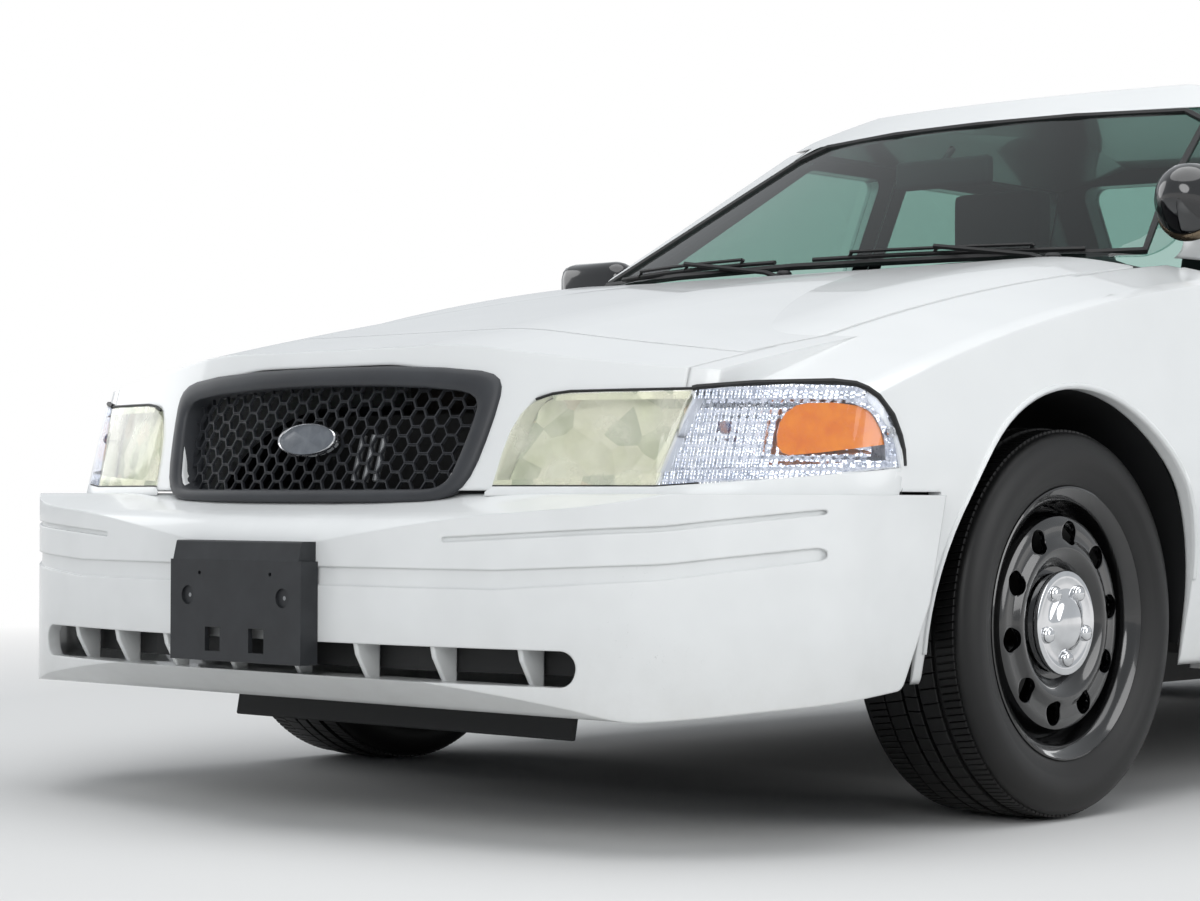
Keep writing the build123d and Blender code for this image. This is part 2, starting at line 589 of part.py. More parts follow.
# Plate bracket
bracket = box(-BRACKET_HALF, BRACKET_HALF, -BRACKET_PROUD, 2, BRACKET_LOW, BRACKET_HIGH)
bracket -= box(-BRACKET_HALF + 8, BRACKET_HALF - 8, -BRACKET_PROUD + 9, 20, BRACKET_LOW + 8, BRACKET_HIGH - 8)
bracket += side_prism([(-BRACKET_PROUD, BRACKET_HIGH - 1, 0), (-BRACKET_PROUD + 8, BRACKET_HIGH + 32, 4), (30, BRACKET_HIGH + 32, 0),
                       (30, BRACKET_HIGH - 1, 0)], -BRACKET_HALF + 6, BRACKET_HALF - 6)
for sign in (-1, 1):
    plate_hole = Pos(sign * PLATE_HOLE_SPACING / 2, 0, PLATE_HOLE_HEIGHT) * Rot(90, 0, 0) * Cylinder(PLATE_HOLE_RADIUS, 60)
    recess = Pos(sign * SCREW_X, 0, SCREW_HEIGHT) * Rot(90, 0, 0) * Cylinder(SCREW_RECESS, 10)
    screw_hole = Pos(sign * SCREW_X, 0, SCREW_HEIGHT) * Rot(90, 0, 0) * Cylinder(PLATE_HOLE_RADIUS, 60)
    bracket -= Pos(0, at(-BRACKET_PROUD), 0) * (plate_hole + recess + screw_hole)
    bracket -= box(sign * 55 - 19, sign * 55 + 19, -BRACKET_PROUD - 5, -BRACKET_PROUD + 15, 294, 334)
outer_cover = bumper_plan(0, 100, 700) & bumper_profile(0)
parts["plate_bracket"] = bracket - outer_cover
panel_rows = [(640, 146, 0), (330, 70, 0), (-330, 70, 0), (-640, 146, 0), (-640, 154, 0), (-330, 78, 0), (330, 78, 0),
              (640, 154, 0)]
parts["intake_panel"] = plan_prism(panel_rows, 274, 336)

# Floor: toe board, cabin floor, step over the rear axle and trunk floor in one sheet
FLOOR_LINE = [(1455, 930), (1455, 452), (1605, 262), (3330, 262), (3560, 510), (4270, 510), (4430, 420), (5270, 420)]
FLOOR_SHEET = 18.0
TUNNEL = [(148, 262), (108, 434)]
lower = [(b, z, 0) for b, z in FLOOR_LINE] + [(5270, 930, 0)]
floor = side_prism(lower, -900, 900) - side_prism(grown(lower, -FLOOR_SHEET), -1000, 1000)
floor -= box(-SPAN, SPAN, 5200, 5400, 440, 1000)
floor -= box(-SPAN, SPAN, 1440, 5400, 900, 1000)
floor &= side_form(SIDE_WALL + 2)
for x0, x1 in ((-SPAN, -640), (640, SPAN)):
    floor -= box(x0, x1, 3583, 5400, 0, 1300)
    floor -= box(x0, x1, 0, 1580, 0, 600)
    floor -= box(x0 - (140 if x0 < 0 else -140), x1 - (140 if x0 < 0 else -140), 0, 1590, 600, 1300)
tunnel_rows = both_sides([(x, z, 30 if z > 300 else 0) for x, z in TUNNEL])
inner_rows = both_sides([(x - FLOOR_SHEET, z - (FLOOR_SHEET if z > 300 else 40), 20 if z > 300 else 0)
                         for x, z in TUNNEL])
hollow = front_prism(inner_rows, 1400, 3560)
floor = (floor + front_prism(tunnel_rows, 1470, 3490)) - hollow
parts["floor_pan"] = floor

# Frame, engine, suspension and driveline
RAIL = [(170, 330, 20), (170, 430, 20), (1400, 430, 60), (1560, 255, 60), (3420, 255, 60), (3640, 500, 60),
        (4250, 500, 60), (4420, 410, 40), (5260, 410, 20), (5260, 320, 20), (4380, 320, 40), (4200, 410, 60),
        (3700, 410, 60), (3500, 170, 60), (1500, 170, 60), (1330, 330, 60)]
rail = side_prism(RAIL, RAIL_IN, RAIL_OUT)
frame = rail + mirrored(rail)
# back, half-length, low, high
CROSSMEMBERS = [(240, 35, 345, 425), (1064, 90, 300, 345), (1900, 45, 150, 183), (3300, 40, 150, 183),
                (4330, 40, 375, 415), (5200, 35, 325, 400)]
for back, half_length, low, high in CROSSMEMBERS:
    frame += box(-RAIL_IN - 5, RAIL_IN + 5, back - half_length, back + half_length, low, high)
parts["chassis_frame"] = frame
engine = box(-280, 280, 640, 1400, 350, 800) + box(-85, 85, 1400, 2150, 225, 385)
parts["engine_block"] = engine
parts["radiator"] = box(-340, 340, 450, 500, 275, 700)
parts["air_deflector"] = side_prism([(330, 150, 4), (345, 228, 4), (357, 228, 4), (342, 150, 4)], -420, 420)


def turned(rows, axis):
    """A ring or disc: an outline of (along, radius) rows turned about the given axis through the origin."""
    if axis == "X":
        return revolve(make_face(Polyline([(a, 0, r) for a, r in rows], close=True)), Axis.X)
    return revolve(make_face(Polyline([(r, 0, a) for a, r in rows], close=True)), Axis.Z)


# Wheel and tyre outlines: along the axle from the wheel's middle plane, radius
RIM_HALF = RIM_WIDTH / 2
BARREL = [
    (-RIM_HALF, RIM_FLANGE_RADIUS), (-RIM_HALF + 16, RIM_SEAT_RADIUS), (-38, RIM_SEAT_RADIUS - 3),
    (-24, RIM_WELL_RADIUS), (30, RIM_WELL_RADIUS), (44, RIM_SEAT_RADIUS - 3), (RIM_HALF - 16, RIM_SEAT_RADIUS),
    (RIM_HALF, RIM_FLANGE_RADIUS), (RIM_HALF - 4, RIM_FLANGE_RADIUS - 11), (48, RIM_SEAT_RADIUS - 12),
    (32, RIM_WELL_RADIUS - RIM_WALL), (-26, RIM_WELL_RADIUS - RIM_WALL), (-42, RIM_SEAT_RADIUS - 12),
    (-RIM_HALF + 4, RIM_FLANGE_RADIUS - 11)]
DISC = [
    (WHEEL_OFFSET, HUB_BORE), (WHEEL_OFFSET, 104), (WHEEL_OFFSET + 20, 126), (WHEEL_OFFSET + 20, 184), (48, 200),
    (48, 211), (60, 213), (WHEEL_OFFSET + 28, 188), (WHEEL_OFFSET + 28, 122), (WHEEL_OFFSET + 9, 98),
    (WHEEL_OFFSET + 9, HUB_BORE)]
CAP = [
    (WHEEL_OFFSET + 8, HUB_BORE), (WHEEL_OFFSET + 8, CAP_RADIUS), (WHEEL_OFFSET + CAP_HEIGHT, CAP_RADIUS - 3),
    (WHEEL_OFFSET + CAP_HEIGHT + 6, 62), (WHEEL_OFFSET + CAP_HEIGHT + 11, 0), (WHEEL_OFFSET + 12, 0),
    (WHEEL_OFFSET + 12, HUB_BORE)]
TYRE_HALF = TYRE_WIDTH / 2
TYRE = [
    (-RIM_HALF + 16, RIM_SEAT_RADIUS), (-RIM_HALF, RIM_FLANGE_RADIUS), (-TYRE_HALF, 285),
    (-TREAD_WIDTH / 2, TYRE_RADIUS), (TREAD_WIDTH / 2, TYRE_RADIUS), (TYRE_HALF, 285),
    (RIM_HALF, RIM_FLANGE_RADIUS), (RIM_HALF - 16, RIM_SEAT_RADIUS)]


def wheel_solids(side_x, axle):
    """Rim with its disc and cap, then tyre, for a +X wheel centred at side_x."""
    rim = turned(BARREL, "X") + turned(DISC, "X")
    for i in range(VENT_COUNT):
        vent = Pos(WHEEL_OFFSET + 20, 0, VENT_CIRCLE) * Rot(0, 90, 0) * extrude(RegularPolygon(VENT_RADIUS, 8), 50, both=True)
        rim -= Rot(360 / VENT_COUNT * i, 0, 0) * vent
    rim += turned(CAP, "X")
    place = Pos(side_x, at(axle), TYRE_RADIUS)
    return place * rim, place * turned(TYRE, "X")


for end, axle, track in (("front", FRONT_AXLE, TRACK_FRONT), ("rear", REAR_AXLE, TRACK_REAR)):
    rim, tyre = wheel_solids(track / 2, axle)
    parts[f"wheel_{end}_left"] = rim
    parts[f"wheel_{end}_right"] = mirrored(rim)
    parts[f"tyre_{end}_left"] = tyre
    parts[f"tyre_{end}_right"] = mirrored(tyre)

# Knuckles, arms and rear axle
hub_face = TRACK_FRONT / 2 + WHEEL_OFFSET - 0.5
knuckle = cylinder_x(72, hub_face - 14, hub_face, FRONT_AXLE, TYRE_RADIUS)
knuckle += cylinder_x(HUB_BORE - 0.3, hub_face - 2, hub_face + 8, FRONT_AXLE, TYRE_RADIUS)
knuckle += cylinder_x(45, 735, hub_face - 10, FRONT_AXLE, TYRE_RADIUS)
knuckle += box(718, 762, FRONT_AXLE - 40, FRONT_AXLE + 40, TYRE_RADIUS - 110, TYRE_RADIUS + 125)
knuckle += box(690, 745, FRONT_AXLE - 130, FRONT_AXLE - 20, TYRE_RADIUS - 60, TYRE_RADIUS - 30)
knuckle += Pos(KINGPIN_X, at(FRONT_AXLE), TYRE_RADIUS + 8) * Cylinder(KINGPIN_RADIUS, 236)
parts["knuckle_left"] = knuckle
parts["knuckle_right"] = mirrored(knuckle)
lower_arm = plan_prism([(RAIL_OUT, 960, 10), (RAIL_OUT, 1170, 10), (755, 1094, 20), (755, 1034, 20)], 200, 224)
upper_arm = plan_prism([(RAIL_OUT, 1010, 10), (RAIL_OUT, 1120, 10), (750, 1084, 18), (750, 1044, 18)], 467, 483)
tower = box(RAIL_IN, RAIL_OUT, 1000, 1130, 430, 490)
low_mount = box(RAIL_IN + 8, RAIL_OUT, 955, 1175, 195, 330)
parts["front_suspension"] = both([lower_arm + low_mount, upper_arm + tower])
rear_face = TRACK_REAR / 2 + WHEEL_OFFSET - 0.5
axle_solid = cylinder_x(42, -rear_face + 10, rear_face - 10, REAR_AXLE, TYRE_RADIUS)
for sign in (-1, 1):
    x0, x1 = sorted((sign * (rear_face - 14), sign * rear_face))
    axle_solid += cylinder_x(72, x0, x1, REAR_AXLE, TYRE_RADIUS)
    x0, x1 = sorted((sign * (rear_face - 2), sign * (rear_face + 8)))
    axle_solid += cylinder_x(HUB_BORE - 0.3, x0, x1, REAR_AXLE, TYRE_RADIUS)
axle_solid += Pos(0, at(REAR_AXLE), TYRE_RADIUS) * turned([(-150, 0), (-60, 125), (60, 125), (150, 0)], "X")
shaft_length = REAR_AXLE - 2150
axle_solid += Pos(0, at(2150 + shaft_length / 2), 330) * Rot(90, 0, 0) * Cylinder(38, shaft_length)
parts["rear_axle"] = axle_solid

pipe = Pos(300, at(2900), 213) * Rot(90, 0, 0) * Cylinder(26, 2600)
muffler = Pos(300, at(2900), 213) * Rot(90, 0, 0) * Cylinder(44, 520)
exhaust = pipe + muffler
parts["exhaust"] = both([exhaust])
parts["fuel_tank"] = box(-340, 340, 4420, 5050, 250, 400)

# Wheel liners
liners = []
for axle, inner in ((FRONT_AXLE, 560), (REAR_AXLE, 665)):
    middle = axle - (ARCH_FORWARD if axle == FRONT_AXLE else 0)
    ring = cylinder_x(ARCH_RADIUS + LINER_WALL, inner, 935, middle, ARCH_HEIGHT)
    ring -= cylinder_x(ARCH_RADIUS, inner - 10, 1100, middle, ARCH_HEIGHT)
    ring &= box(0, SPAN, middle - 500, middle + 500, ARCH_HEIGHT - 60, 900)
    ring &= side_form(FENDER_WALL + 1)
    liners.append(ring)
parts["wheel_liners"] = both(liners)

# Cabin
DASH = [(1480, 660, 20), (1480, 925, 30), (1650, 945, 20), (1720, 990, 40), (1850, 975, 40), (1900, 900, 40),
        (1860, 700, 40), (1780, 660, 20)]
COLUMN_TILT = 25.0
wheel_place = Pos(STEER_X, at(STEER_BACK), STEER_HEIGHT) * Rot(COLUMN_TILT - 90, 0, 0)
steer = turned([(-8, STEER_RADIUS - 14), (8, STEER_RADIUS - 14), (15, STEER_RADIUS - 5), (15, STEER_RADIUS + 5),
                (8, STEER_RADIUS + 14), (-8, STEER_RADIUS + 14), (-15, STEER_RADIUS + 5), (-15, STEER_RADIUS - 5)], "Z")
steer += Cylinder(38, 40)
for angle in (90, 200, 340):
    steer += Rot(0, 0, angle) * Pos(STEER_RADIUS / 2, 0, 0) * Box(STEER_RADIUS, 34, 12)
parts["steering_wheel"] = wheel_place * steer
parts["dashboard"] = side_prism(DASH, -770, 770) + wheel_place * Pos(0, 0, -121) * Cylinder(32, 200)

# side outlines of the seats: back, height, corner radius
SEAT_BACK = [(2630, 480, 20), (2590, 620, 30), (2690, 1130, 30), (2730, 1160, 25), (2790, 1150, 25), (2790, 1000, 20),
             (2740, 480, 20)]
SEAT_BASE = [(2110, 340, 20), (2100, 520, 50), (2640, 490, 20), (2640, 340, 20)]
HEADREST = [(2745, 1165, 20), (2725, 1310, 25), (2790, 1320, 25), (2820, 1165, 20)]
REAR_BENCH = [(3120, 330, 20), (3110, 600, 50), (3600, 590, 30), (3690, 925, 30), (3790, 925, 30), (3760, 538, 0),
              (3545, 538, 0), (3345, 332, 0)]
seats = []
for x in (SEAT_X, -SEAT_X):
    seat = side_prism(SEAT_BACK, x - SEAT_HALF, x + SEAT_HALF) + side_prism(SEAT_BASE, x - SEAT_HALF, x + SEAT_HALF)
    seat += side_prism(HEADREST, x - 130, x + 130) + box(x - 60, x + 60, 2740, 2770, 1100, 1200)
    seat += box(x - 190, x + 190, 2200, 2560, 280, 345)
    seats.append(seat.solid())
parts["front_seats"] = Compound(seats)
parts["rear_seat"] = side_prism(REAR_BENCH, -620, 620) - box(-156, 156, 3000, 3520, 200, 445)

# Mirrors, spotlight and wipers
shell = [(MIRROR_X - 105, MIRROR_HEIGHT - 60, 35), (MIRROR_X + 90, MIRROR_HEIGHT - 55, 45),
         (MIRROR_X + 105, MIRROR_HEIGHT + 55, 35), (MIRROR_X - 105, MIRROR_HEIGHT + 65, 35)]
housing = front_prism(shell, MIRROR_BACK - 50, MIRROR_BACK + 50)
housing &= plan_prism([(MIRROR_X - 105, MIRROR_BACK - 40, 30), (MIRROR_X + 105, MIRROR_BACK - 20, 40),
                       (MIRROR_X + 110, MIRROR_BACK + 50, 0), (MIRROR_X - 110, MIRROR_BACK + 50, 0)], 900, 1300)
stalk = box(825, MIRROR_X - 60, MIRROR_BACK - 35, MIRROR_BACK + 25, 990, 1060) - house_outer
mirror_part = housing + stalk
parts["mirror_left"] = mirror_part - parts["door_front_left"]
parts["mirror_right"] = mirrored(parts["mirror_left"])
spot = turned([(-44, 0), (-44, 76), (-28, 82), (-8, 80), (28, 62), (54, 32), (62, 0)], "Z")
spot = Pos(SPOT_X, at(SPOT_BACK), SPOT_HEIGHT) * Rot(-90, 0, 0) * spot
arm = box(745, 790, SPOT_BACK + 20, SPOT_BACK + 160, SPOT_HEIGHT - 40, SPOT_HEIGHT - 20)
parts["spotlight"] = (spot + arm) - house_outer - body_outer
for name, part in parts.items():
    box_ = part.bounding_box()
    print(name, len(part.solids()), part.is_valid, round(part.volume / 1e6, 2), [round(v) for v in (*box_.min, *box_.max)])

os.makedirs("parts", exist_ok=True)
for name, part in parts.items():
    export_step(part, f"parts/{name}.step")
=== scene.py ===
"""The looks of a white police patrol sedan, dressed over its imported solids."""

import json
import logging
import math
from contextlib import contextmanager
from dataclasses import dataclass
from enum import Enum
from typing import Iterator, Sequence

import bpy
from mathutils import Matrix, Vector

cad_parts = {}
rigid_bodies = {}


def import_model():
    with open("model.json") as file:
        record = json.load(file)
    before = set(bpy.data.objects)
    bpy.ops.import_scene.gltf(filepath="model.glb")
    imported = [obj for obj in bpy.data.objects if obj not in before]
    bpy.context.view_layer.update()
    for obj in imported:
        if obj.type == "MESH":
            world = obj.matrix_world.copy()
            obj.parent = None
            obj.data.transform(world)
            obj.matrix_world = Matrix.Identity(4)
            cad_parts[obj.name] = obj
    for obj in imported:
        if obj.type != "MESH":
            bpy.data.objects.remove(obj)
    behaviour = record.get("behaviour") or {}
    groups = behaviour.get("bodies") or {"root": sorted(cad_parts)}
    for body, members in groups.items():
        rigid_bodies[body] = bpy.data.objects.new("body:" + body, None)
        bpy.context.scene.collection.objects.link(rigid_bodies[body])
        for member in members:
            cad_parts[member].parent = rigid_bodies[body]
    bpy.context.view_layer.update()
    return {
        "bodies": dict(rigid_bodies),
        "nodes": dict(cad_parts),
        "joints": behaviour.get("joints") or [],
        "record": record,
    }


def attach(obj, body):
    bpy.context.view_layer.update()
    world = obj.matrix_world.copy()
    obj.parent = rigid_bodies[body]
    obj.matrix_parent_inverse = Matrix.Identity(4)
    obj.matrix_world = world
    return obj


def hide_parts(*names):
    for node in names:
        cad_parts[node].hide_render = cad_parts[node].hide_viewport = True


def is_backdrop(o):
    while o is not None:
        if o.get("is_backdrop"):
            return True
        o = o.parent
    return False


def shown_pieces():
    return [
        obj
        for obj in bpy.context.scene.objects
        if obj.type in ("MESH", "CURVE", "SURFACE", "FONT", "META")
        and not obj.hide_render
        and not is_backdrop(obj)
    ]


LOG = logging.getLogger("patrol_car")
MM = 0.001

# Places in metres: the front faces -Y, the car's left is +X and the ground is at Z 0
NOSE_Y = -2.675
FRONT_AXLE_Y = NOSE_Y + 1.064
REAR_AXLE_Y = NOSE_Y + 3.977
FRONT_WHEEL_X = 0.8055
REAR_WHEEL_X = 0.825
TYRE_RADIUS = 0.338
CABIN_MIDDLE = (0.0, 0.25, 0.95)

# One turn in radians. A wave pattern repeats every WAVE_TURN / (20 * Scale) metres, so that ribs lie
# about 2 rib_mm apart
WAVE_TURN = 6.283

# The colour of paint that has been rubbed against something
RUBBED_GREY = "#6F6E6B"

Point = tuple[float, float, float]


class Axis(Enum):
    """The axis that a turned piece turns about."""

    X = (1.0, 0.0, 0.0)
    Y = (0.0, 1.0, 0.0)
    Z = (0.0, 0.0, 1.0)


# Modelling


def deselect() -> None:
    """Deselects every object."""
    bpy.ops.object.select_all(action="DESELECT")


def choose(piece: bpy.types.Object) -> None:
    """Makes one object the active and only selected one."""
    deselect()
    piece.select_set(True)
    bpy.context.view_layer.objects.active = piece


@contextmanager
def editing(piece: bpy.types.Object) -> Iterator[bpy.types.Mesh]:
    """Edit mode on one piece, with everything selected on entry."""
    choose(piece)
    bpy.ops.object.mode_set(mode="EDIT")
    bpy.ops.mesh.select_mode(type="VERT")
    bpy.ops.mesh.select_all(action="SELECT")
    yield piece.data
    bpy.ops.object.mode_set(mode="OBJECT")


def settle(piece: bpy.types.Object, name: str) -> bpy.types.Object:
    """Names a piece and puts its place into its mesh."""
    choose(piece)
    bpy.ops.object.transform_apply(location=True, rotation=True, scale=True)
    piece.name = name
    piece.data.name = name
    return piece


def apply_modifiers(piece: bpy.types.Object) -> None:
    """Applies all of a piece's modifiers in their order."""
    choose(piece)
    for modifier in list(piece.modifiers):
        bpy.ops.object.modifier_apply(modifier=modifier.name)


def smooth(piece: bpy.types.Object, angle: float = 35.0) -> None:
    """Shades a piece smooth, with edges sharper than the angle kept."""
    choose(piece)
    bpy.ops.object.shade_smooth_by_angle(angle=math.radians(angle))


def bevelled(piece: bpy.types.Object, width: float, segments: int = 2, angle: float = 30.0) -> None:
    """Rounds the sharp edges of a piece.

    Args:
        piece: the mesh object.
        width: how far each edge is cut back.
        segments: facets across an edge.
        angle: edges sharper than this, in degrees, are rounded.
    """
    modifier = piece.modifiers.new("edges", "BEVEL")
    modifier.width = width
    modifier.segments = segments
    modifier.limit_method = "ANGLE"
    modifier.angle_limit = math.radians(angle)
    apply_modifiers(piece)


def joined(pieces: Sequence[bpy.types.Object], name: str) -> bpy.types.Object:
    """Joins pieces into one mesh.

    Args:
        pieces: the mesh objects; the first one takes in the others.
        name: the joined piece's name.

    Returns:
        The joined piece.
    """
    deselect()
    for piece in pieces:
        piece.select_set(True)
    bpy.context.view_layer.objects.active = pieces[0]
    bpy.ops.object.join()
    return settle(pieces[0], name)


def copy_of(piece: bpy.types.Object, name: str, change: Matrix) -> bpy.types.Object:
    """A copy with its own mesh, moved by a matrix, with its faces turned outwards again if it was mirrored.

    Args:
        piece: what to copy.
        name: the copy's name.
        change: where the copy goes.

    Returns:
        The copy.
    """
    choose(piece)
    bpy.ops.object.duplicate(linked=False)
    twin = bpy.context.view_layer.objects.active
    twin.data.transform(change)
    twin.name = name
    twin.data.name = name
    if change.to_3x3().determinant() < 0:
        with editing(twin):
            bpy.ops.mesh.flip_normals()
    return twin


def mirrored(piece: bpy.types.Object, name: str) -> bpy.types.Object:
    """A copy on the other side of the car."""
    return copy_of(piece, name, Matrix.Diagonal((-1, 1, 1, 1)))


def traced(name: str, points: Sequence[Vector], closed: bool) -> bpy.types.Object:
    """A chain of edges through points, drawn vertex by vertex in edit mode.

    Args:
        name: the object's name.
        points: where the chain goes.
        closed: whether it returns to its start.

    Returns:
        The object, with its chain selected all over.
    """
    deselect()
    bpy.ops.mesh.primitive_plane_add(size=0.01, location=points[0])
    piece = bpy.context.view_layer.objects.active
    piece.name = name
    with editing(piece):
        bpy.ops.mesh.merge(type="CENTER")
        for before, after in zip(points, points[1:]):
            bpy.ops.mesh.extrude_region_move(TRANSFORM_OT_translate={"value": after - before})
        if closed:
            bpy.ops.mesh.select_all(action="SELECT")
            bpy.ops.mesh.edge_face_add()
    return piece


def plate(name: str, outline: Sequence[Point], depth: Vector) -> bpy.types.Object:
    """A flat outline pulled along a depth, with faces outwards.

    Args:
        name: the piece's name.
        outline: its corners in order.
        depth: how far and which way it is pulled.

    Returns:
        The finished mesh object.
    """
    piece = traced(name, [Vector(p) for p in outline], closed=True)
    with editing(piece):
        bpy.ops.mesh.extrude_region_move(TRANSFORM_OT_translate={"value": depth})
        bpy.ops.mesh.select_all(action="SELECT")
        bpy.ops.mesh.normals_make_consistent(inside=False)
    return settle(piece, name)


def turned(name: str, profile: Sequence[tuple[float, float]], axis: Axis, centre: Vector,
           steps: int = 64, closed: bool = False) -> bpy.types.Object:
    """A piece turned on a lathe.

    Args:
        name: the piece's name.
        profile: (along the axis, radius) pairs in metres.
        axis: the axis it turns about.
        centre: the point of the axis where along is 0.
        steps: facets round the piece.
        closed: whether the profile is a ring's section that returns to its start.

    Returns:
        The finished mesh object.
    """
    direction = Vector(axis.value)
    out = Vector((0, 0, 1)) if axis is not Axis.Z else Vector((1, 0, 0))
    points = [centre + direction * a + out * max(r, 0.0) for a, r in profile]
    piece = traced(name, points, closed=False)
    with editing(piece):
        if closed:
            bpy.ops.mesh.select_all(action="DESELECT")
            bpy.ops.object.mode_set(mode="OBJECT")
            piece.data.vertices[0].select = True
            piece.data.vertices[-1].select = True
            bpy.ops.object.mode_set(mode="EDIT")
            bpy.ops.mesh.edge_face_add()
            bpy.ops.mesh.select_all(action="SELECT")
        bpy.ops.mesh.spin(steps=steps, angle=math.tau, center=centre, axis=direction)
        bpy.ops.mesh.select_all(action="SELECT")
        bpy.ops.mesh.remove_doubles(threshold=1e-5)
        bpy.ops.mesh.normals_make_consistent(inside=False)
    return settle(piece, name)


def block(name: str, low: Point, high: Point, rounding: float = 0.0) -> bpy.types.Object:
    """A block between two corners, with its edges rounded.

    Args:
        name: the block's name.
        low: its lowest corner.
        high: its highest corner.
        rounding: how far its edges are cut back.

    Returns:
        The finished mesh object.
    """
    deselect()
    size = [h - l for l, h in zip(low, high)]
    middle = [(h + l) / 2 for l, h in zip(low, high)]
    bpy.ops.mesh.primitive_cube_add(size=1, location=middle)
    piece = bpy.context.view_layer.objects.active
    piece.scale = size
    settle(piece, name)
    if rounding:
        bevelled(piece, rounding, 3)
    return piece


def rod(name: str, points: Sequence[Point], radius: float, sides: int = 12) -> bpy.types.Object:
    """A round bar along a path, made from a curve and turned to a mesh.

    Args:
        name: the bar's name.
        points: the path.
        radius: the bar's radius.
        sides: facets round it.

    Returns:
        The finished mesh object.
    """
    curve = bpy.data.curves.new(name, "CURVE")
    curve.dimensions = "3D"
    curve.bevel_depth = radius
    curve.bevel_resolution = max(1, sides // 4 - 1)
    curve.use_fill_caps = True
    spline = curve.splines.new("POLY")
    spline.points.add(len(points) - 1)
    for spot, point in zip(spline.points, points):
        spot.co = (*point, 1)
    piece = bpy.data.objects.new(name, curve)
    bpy.context.scene.collection.objects.link(piece)
    choose(piece)
    bpy.ops.object.convert(target="MESH")
    piece = bpy.context.view_layer.objects.active
    smooth(piece)
    return settle(piece, name)


def skin_point(piece: bpy.types.Object, start: Point, way: Point, lift: float = 0.0) -> Vector:
    """Where a ray first meets a piece, lifted off its surface.

    Args:
        piece: the mesh object, at the origin.
        start: where the ray starts, in metres.
        way: the ray's direction.
        lift: how far along the surface's normal the point is moved.

    Returns:
        The lifted point.
    """
    hit, place, normal, _ = piece.ray_cast(Vector(start), Vector(way).normalized())
    if not hit:
        raise ValueError(f"no surface of {piece.name} from {start}")
    return place + normal * lift


def front_point(piece: bpy.types.Object, x: float, z: float, lift: float = 0.0) -> Vector:
    """The point of a piece that is seen from straight ahead at x and z."""
    return skin_point(piece, (x, -5.0, z), (0, 1, 0), lift)


def left_point(piece: bpy.types.Object, back: float, z: float, lift: float = 0.0) -> Vector:
    """The point of a piece that is seen from the car's left, this far behind the nose and this high."""
    return skin_point(piece, (5.0, NOSE_Y + back, z), (-1, 0, 0), lift)


def top_point(piece: bpy.types.Object, x: float, back: float, lift: float = 0.0) -> Vector:
    """The point of a piece that is seen from straight above."""
    return skin_point(piece, (x, NOSE_Y + back, 5.0), (0, 0, -1), lift)


def curtain(name: str, points: Sequence[Vector], rise: Point, thickness: float) -> bpy.types.Object:
    """A strip that rises from a chain of points, with an even thickness.

    Args:
        name: the strip's name.
        points: its lower edge.
        rise: how far and which way it rises.
        thickness: its thickness.

    Returns:
        The finished mesh object.
    """
    piece = traced(name, list(points), closed=False)
    with editing(piece):
        bpy.ops.mesh.extrude_region_move(TRANSFORM_OT_translate={"value": rise})
        bpy.ops.mesh.select_all(action="SELECT")
        bpy.ops.mesh.normals_make_consistent(inside=False)
    wall = piece.modifiers.new("wall", "SOLIDIFY")
    wall.thickness = thickness
    wall.offset = 0.0
    apply_modifiers(piece)
    return settle(piece, name)


@dataclass(frozen=True)
class NoseSkin:
    """The leaning front skin, followed by the distance round the nose from the middle."""

    height: float = 0.65
    lean: float = 0.278
    # (x, distance behind the nose) at that height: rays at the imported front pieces, from x 0.45 to 0.9 less
    # 0.3 mm, with the pairs beside the grille and round the corner changed after that
    plan: tuple[tuple[float, float], ...] = (
        (0.0, 0.1227), (0.1, 0.1229), (0.2, 0.1272), (0.3, 0.1390), (0.35, 0.1503), (0.40, 0.1600),
        (0.45, 0.1708), (0.5, 0.1833), (0.55, 0.1974), (0.6, 0.2131), (0.65, 0.2306), (0.7, 0.2500),
        (0.725, 0.2602), (0.75, 0.2721), (0.775, 0.2871), (0.8, 0.3057), (0.825, 0.3287), (0.85, 0.3583),
        (0.875, 0.3922), (0.9, 0.4264), (0.9155, 0.4530), (0.9272, 0.480), (0.9345, 0.505), (0.9385, 0.530),
        (0.9392, 0.560), (0.9396, 0.620))

    def flat(self, around: float) -> tuple[float, float]:
        """Where the skin is in plan.

        Args:
            around: distance round the nose from the middle, positive to the car's left.

        Returns:
            X and the distance behind the nose.
        """
        left = abs(around)
        for (x0, b0), (x1, b1) in zip(self.plan, self.plan[1:]):
            span = math.hypot(x1 - x0, b1 - b0)
            if left <= span:
                break
            left -= span
        share = left / span
        return math.copysign(x0 + (x1 - x0) * share, around), b0 + (b1 - b0) * share

    def point(self, around: float, z: float, depth: float = 0.0) -> Vector:
        """A point of the skin, or one at a depth behind it.

        Args:
            around: distance round the nose from the middle, positive to the car's left.
            z: height over the ground.
            depth: how far behind the skin.

        Returns:
            The point.
        """
        x, back = self.flat(around)
        x_before, back_before = self.flat(around - 0.012)
        x_after, back_after = self.flat(around + 0.012)
        inward = Vector((back_before - back_after, x_after - x_before, 0)).normalized() * depth
        return Vector((x, NOSE_Y + back + self.lean * (z - self.height), z)) + inward


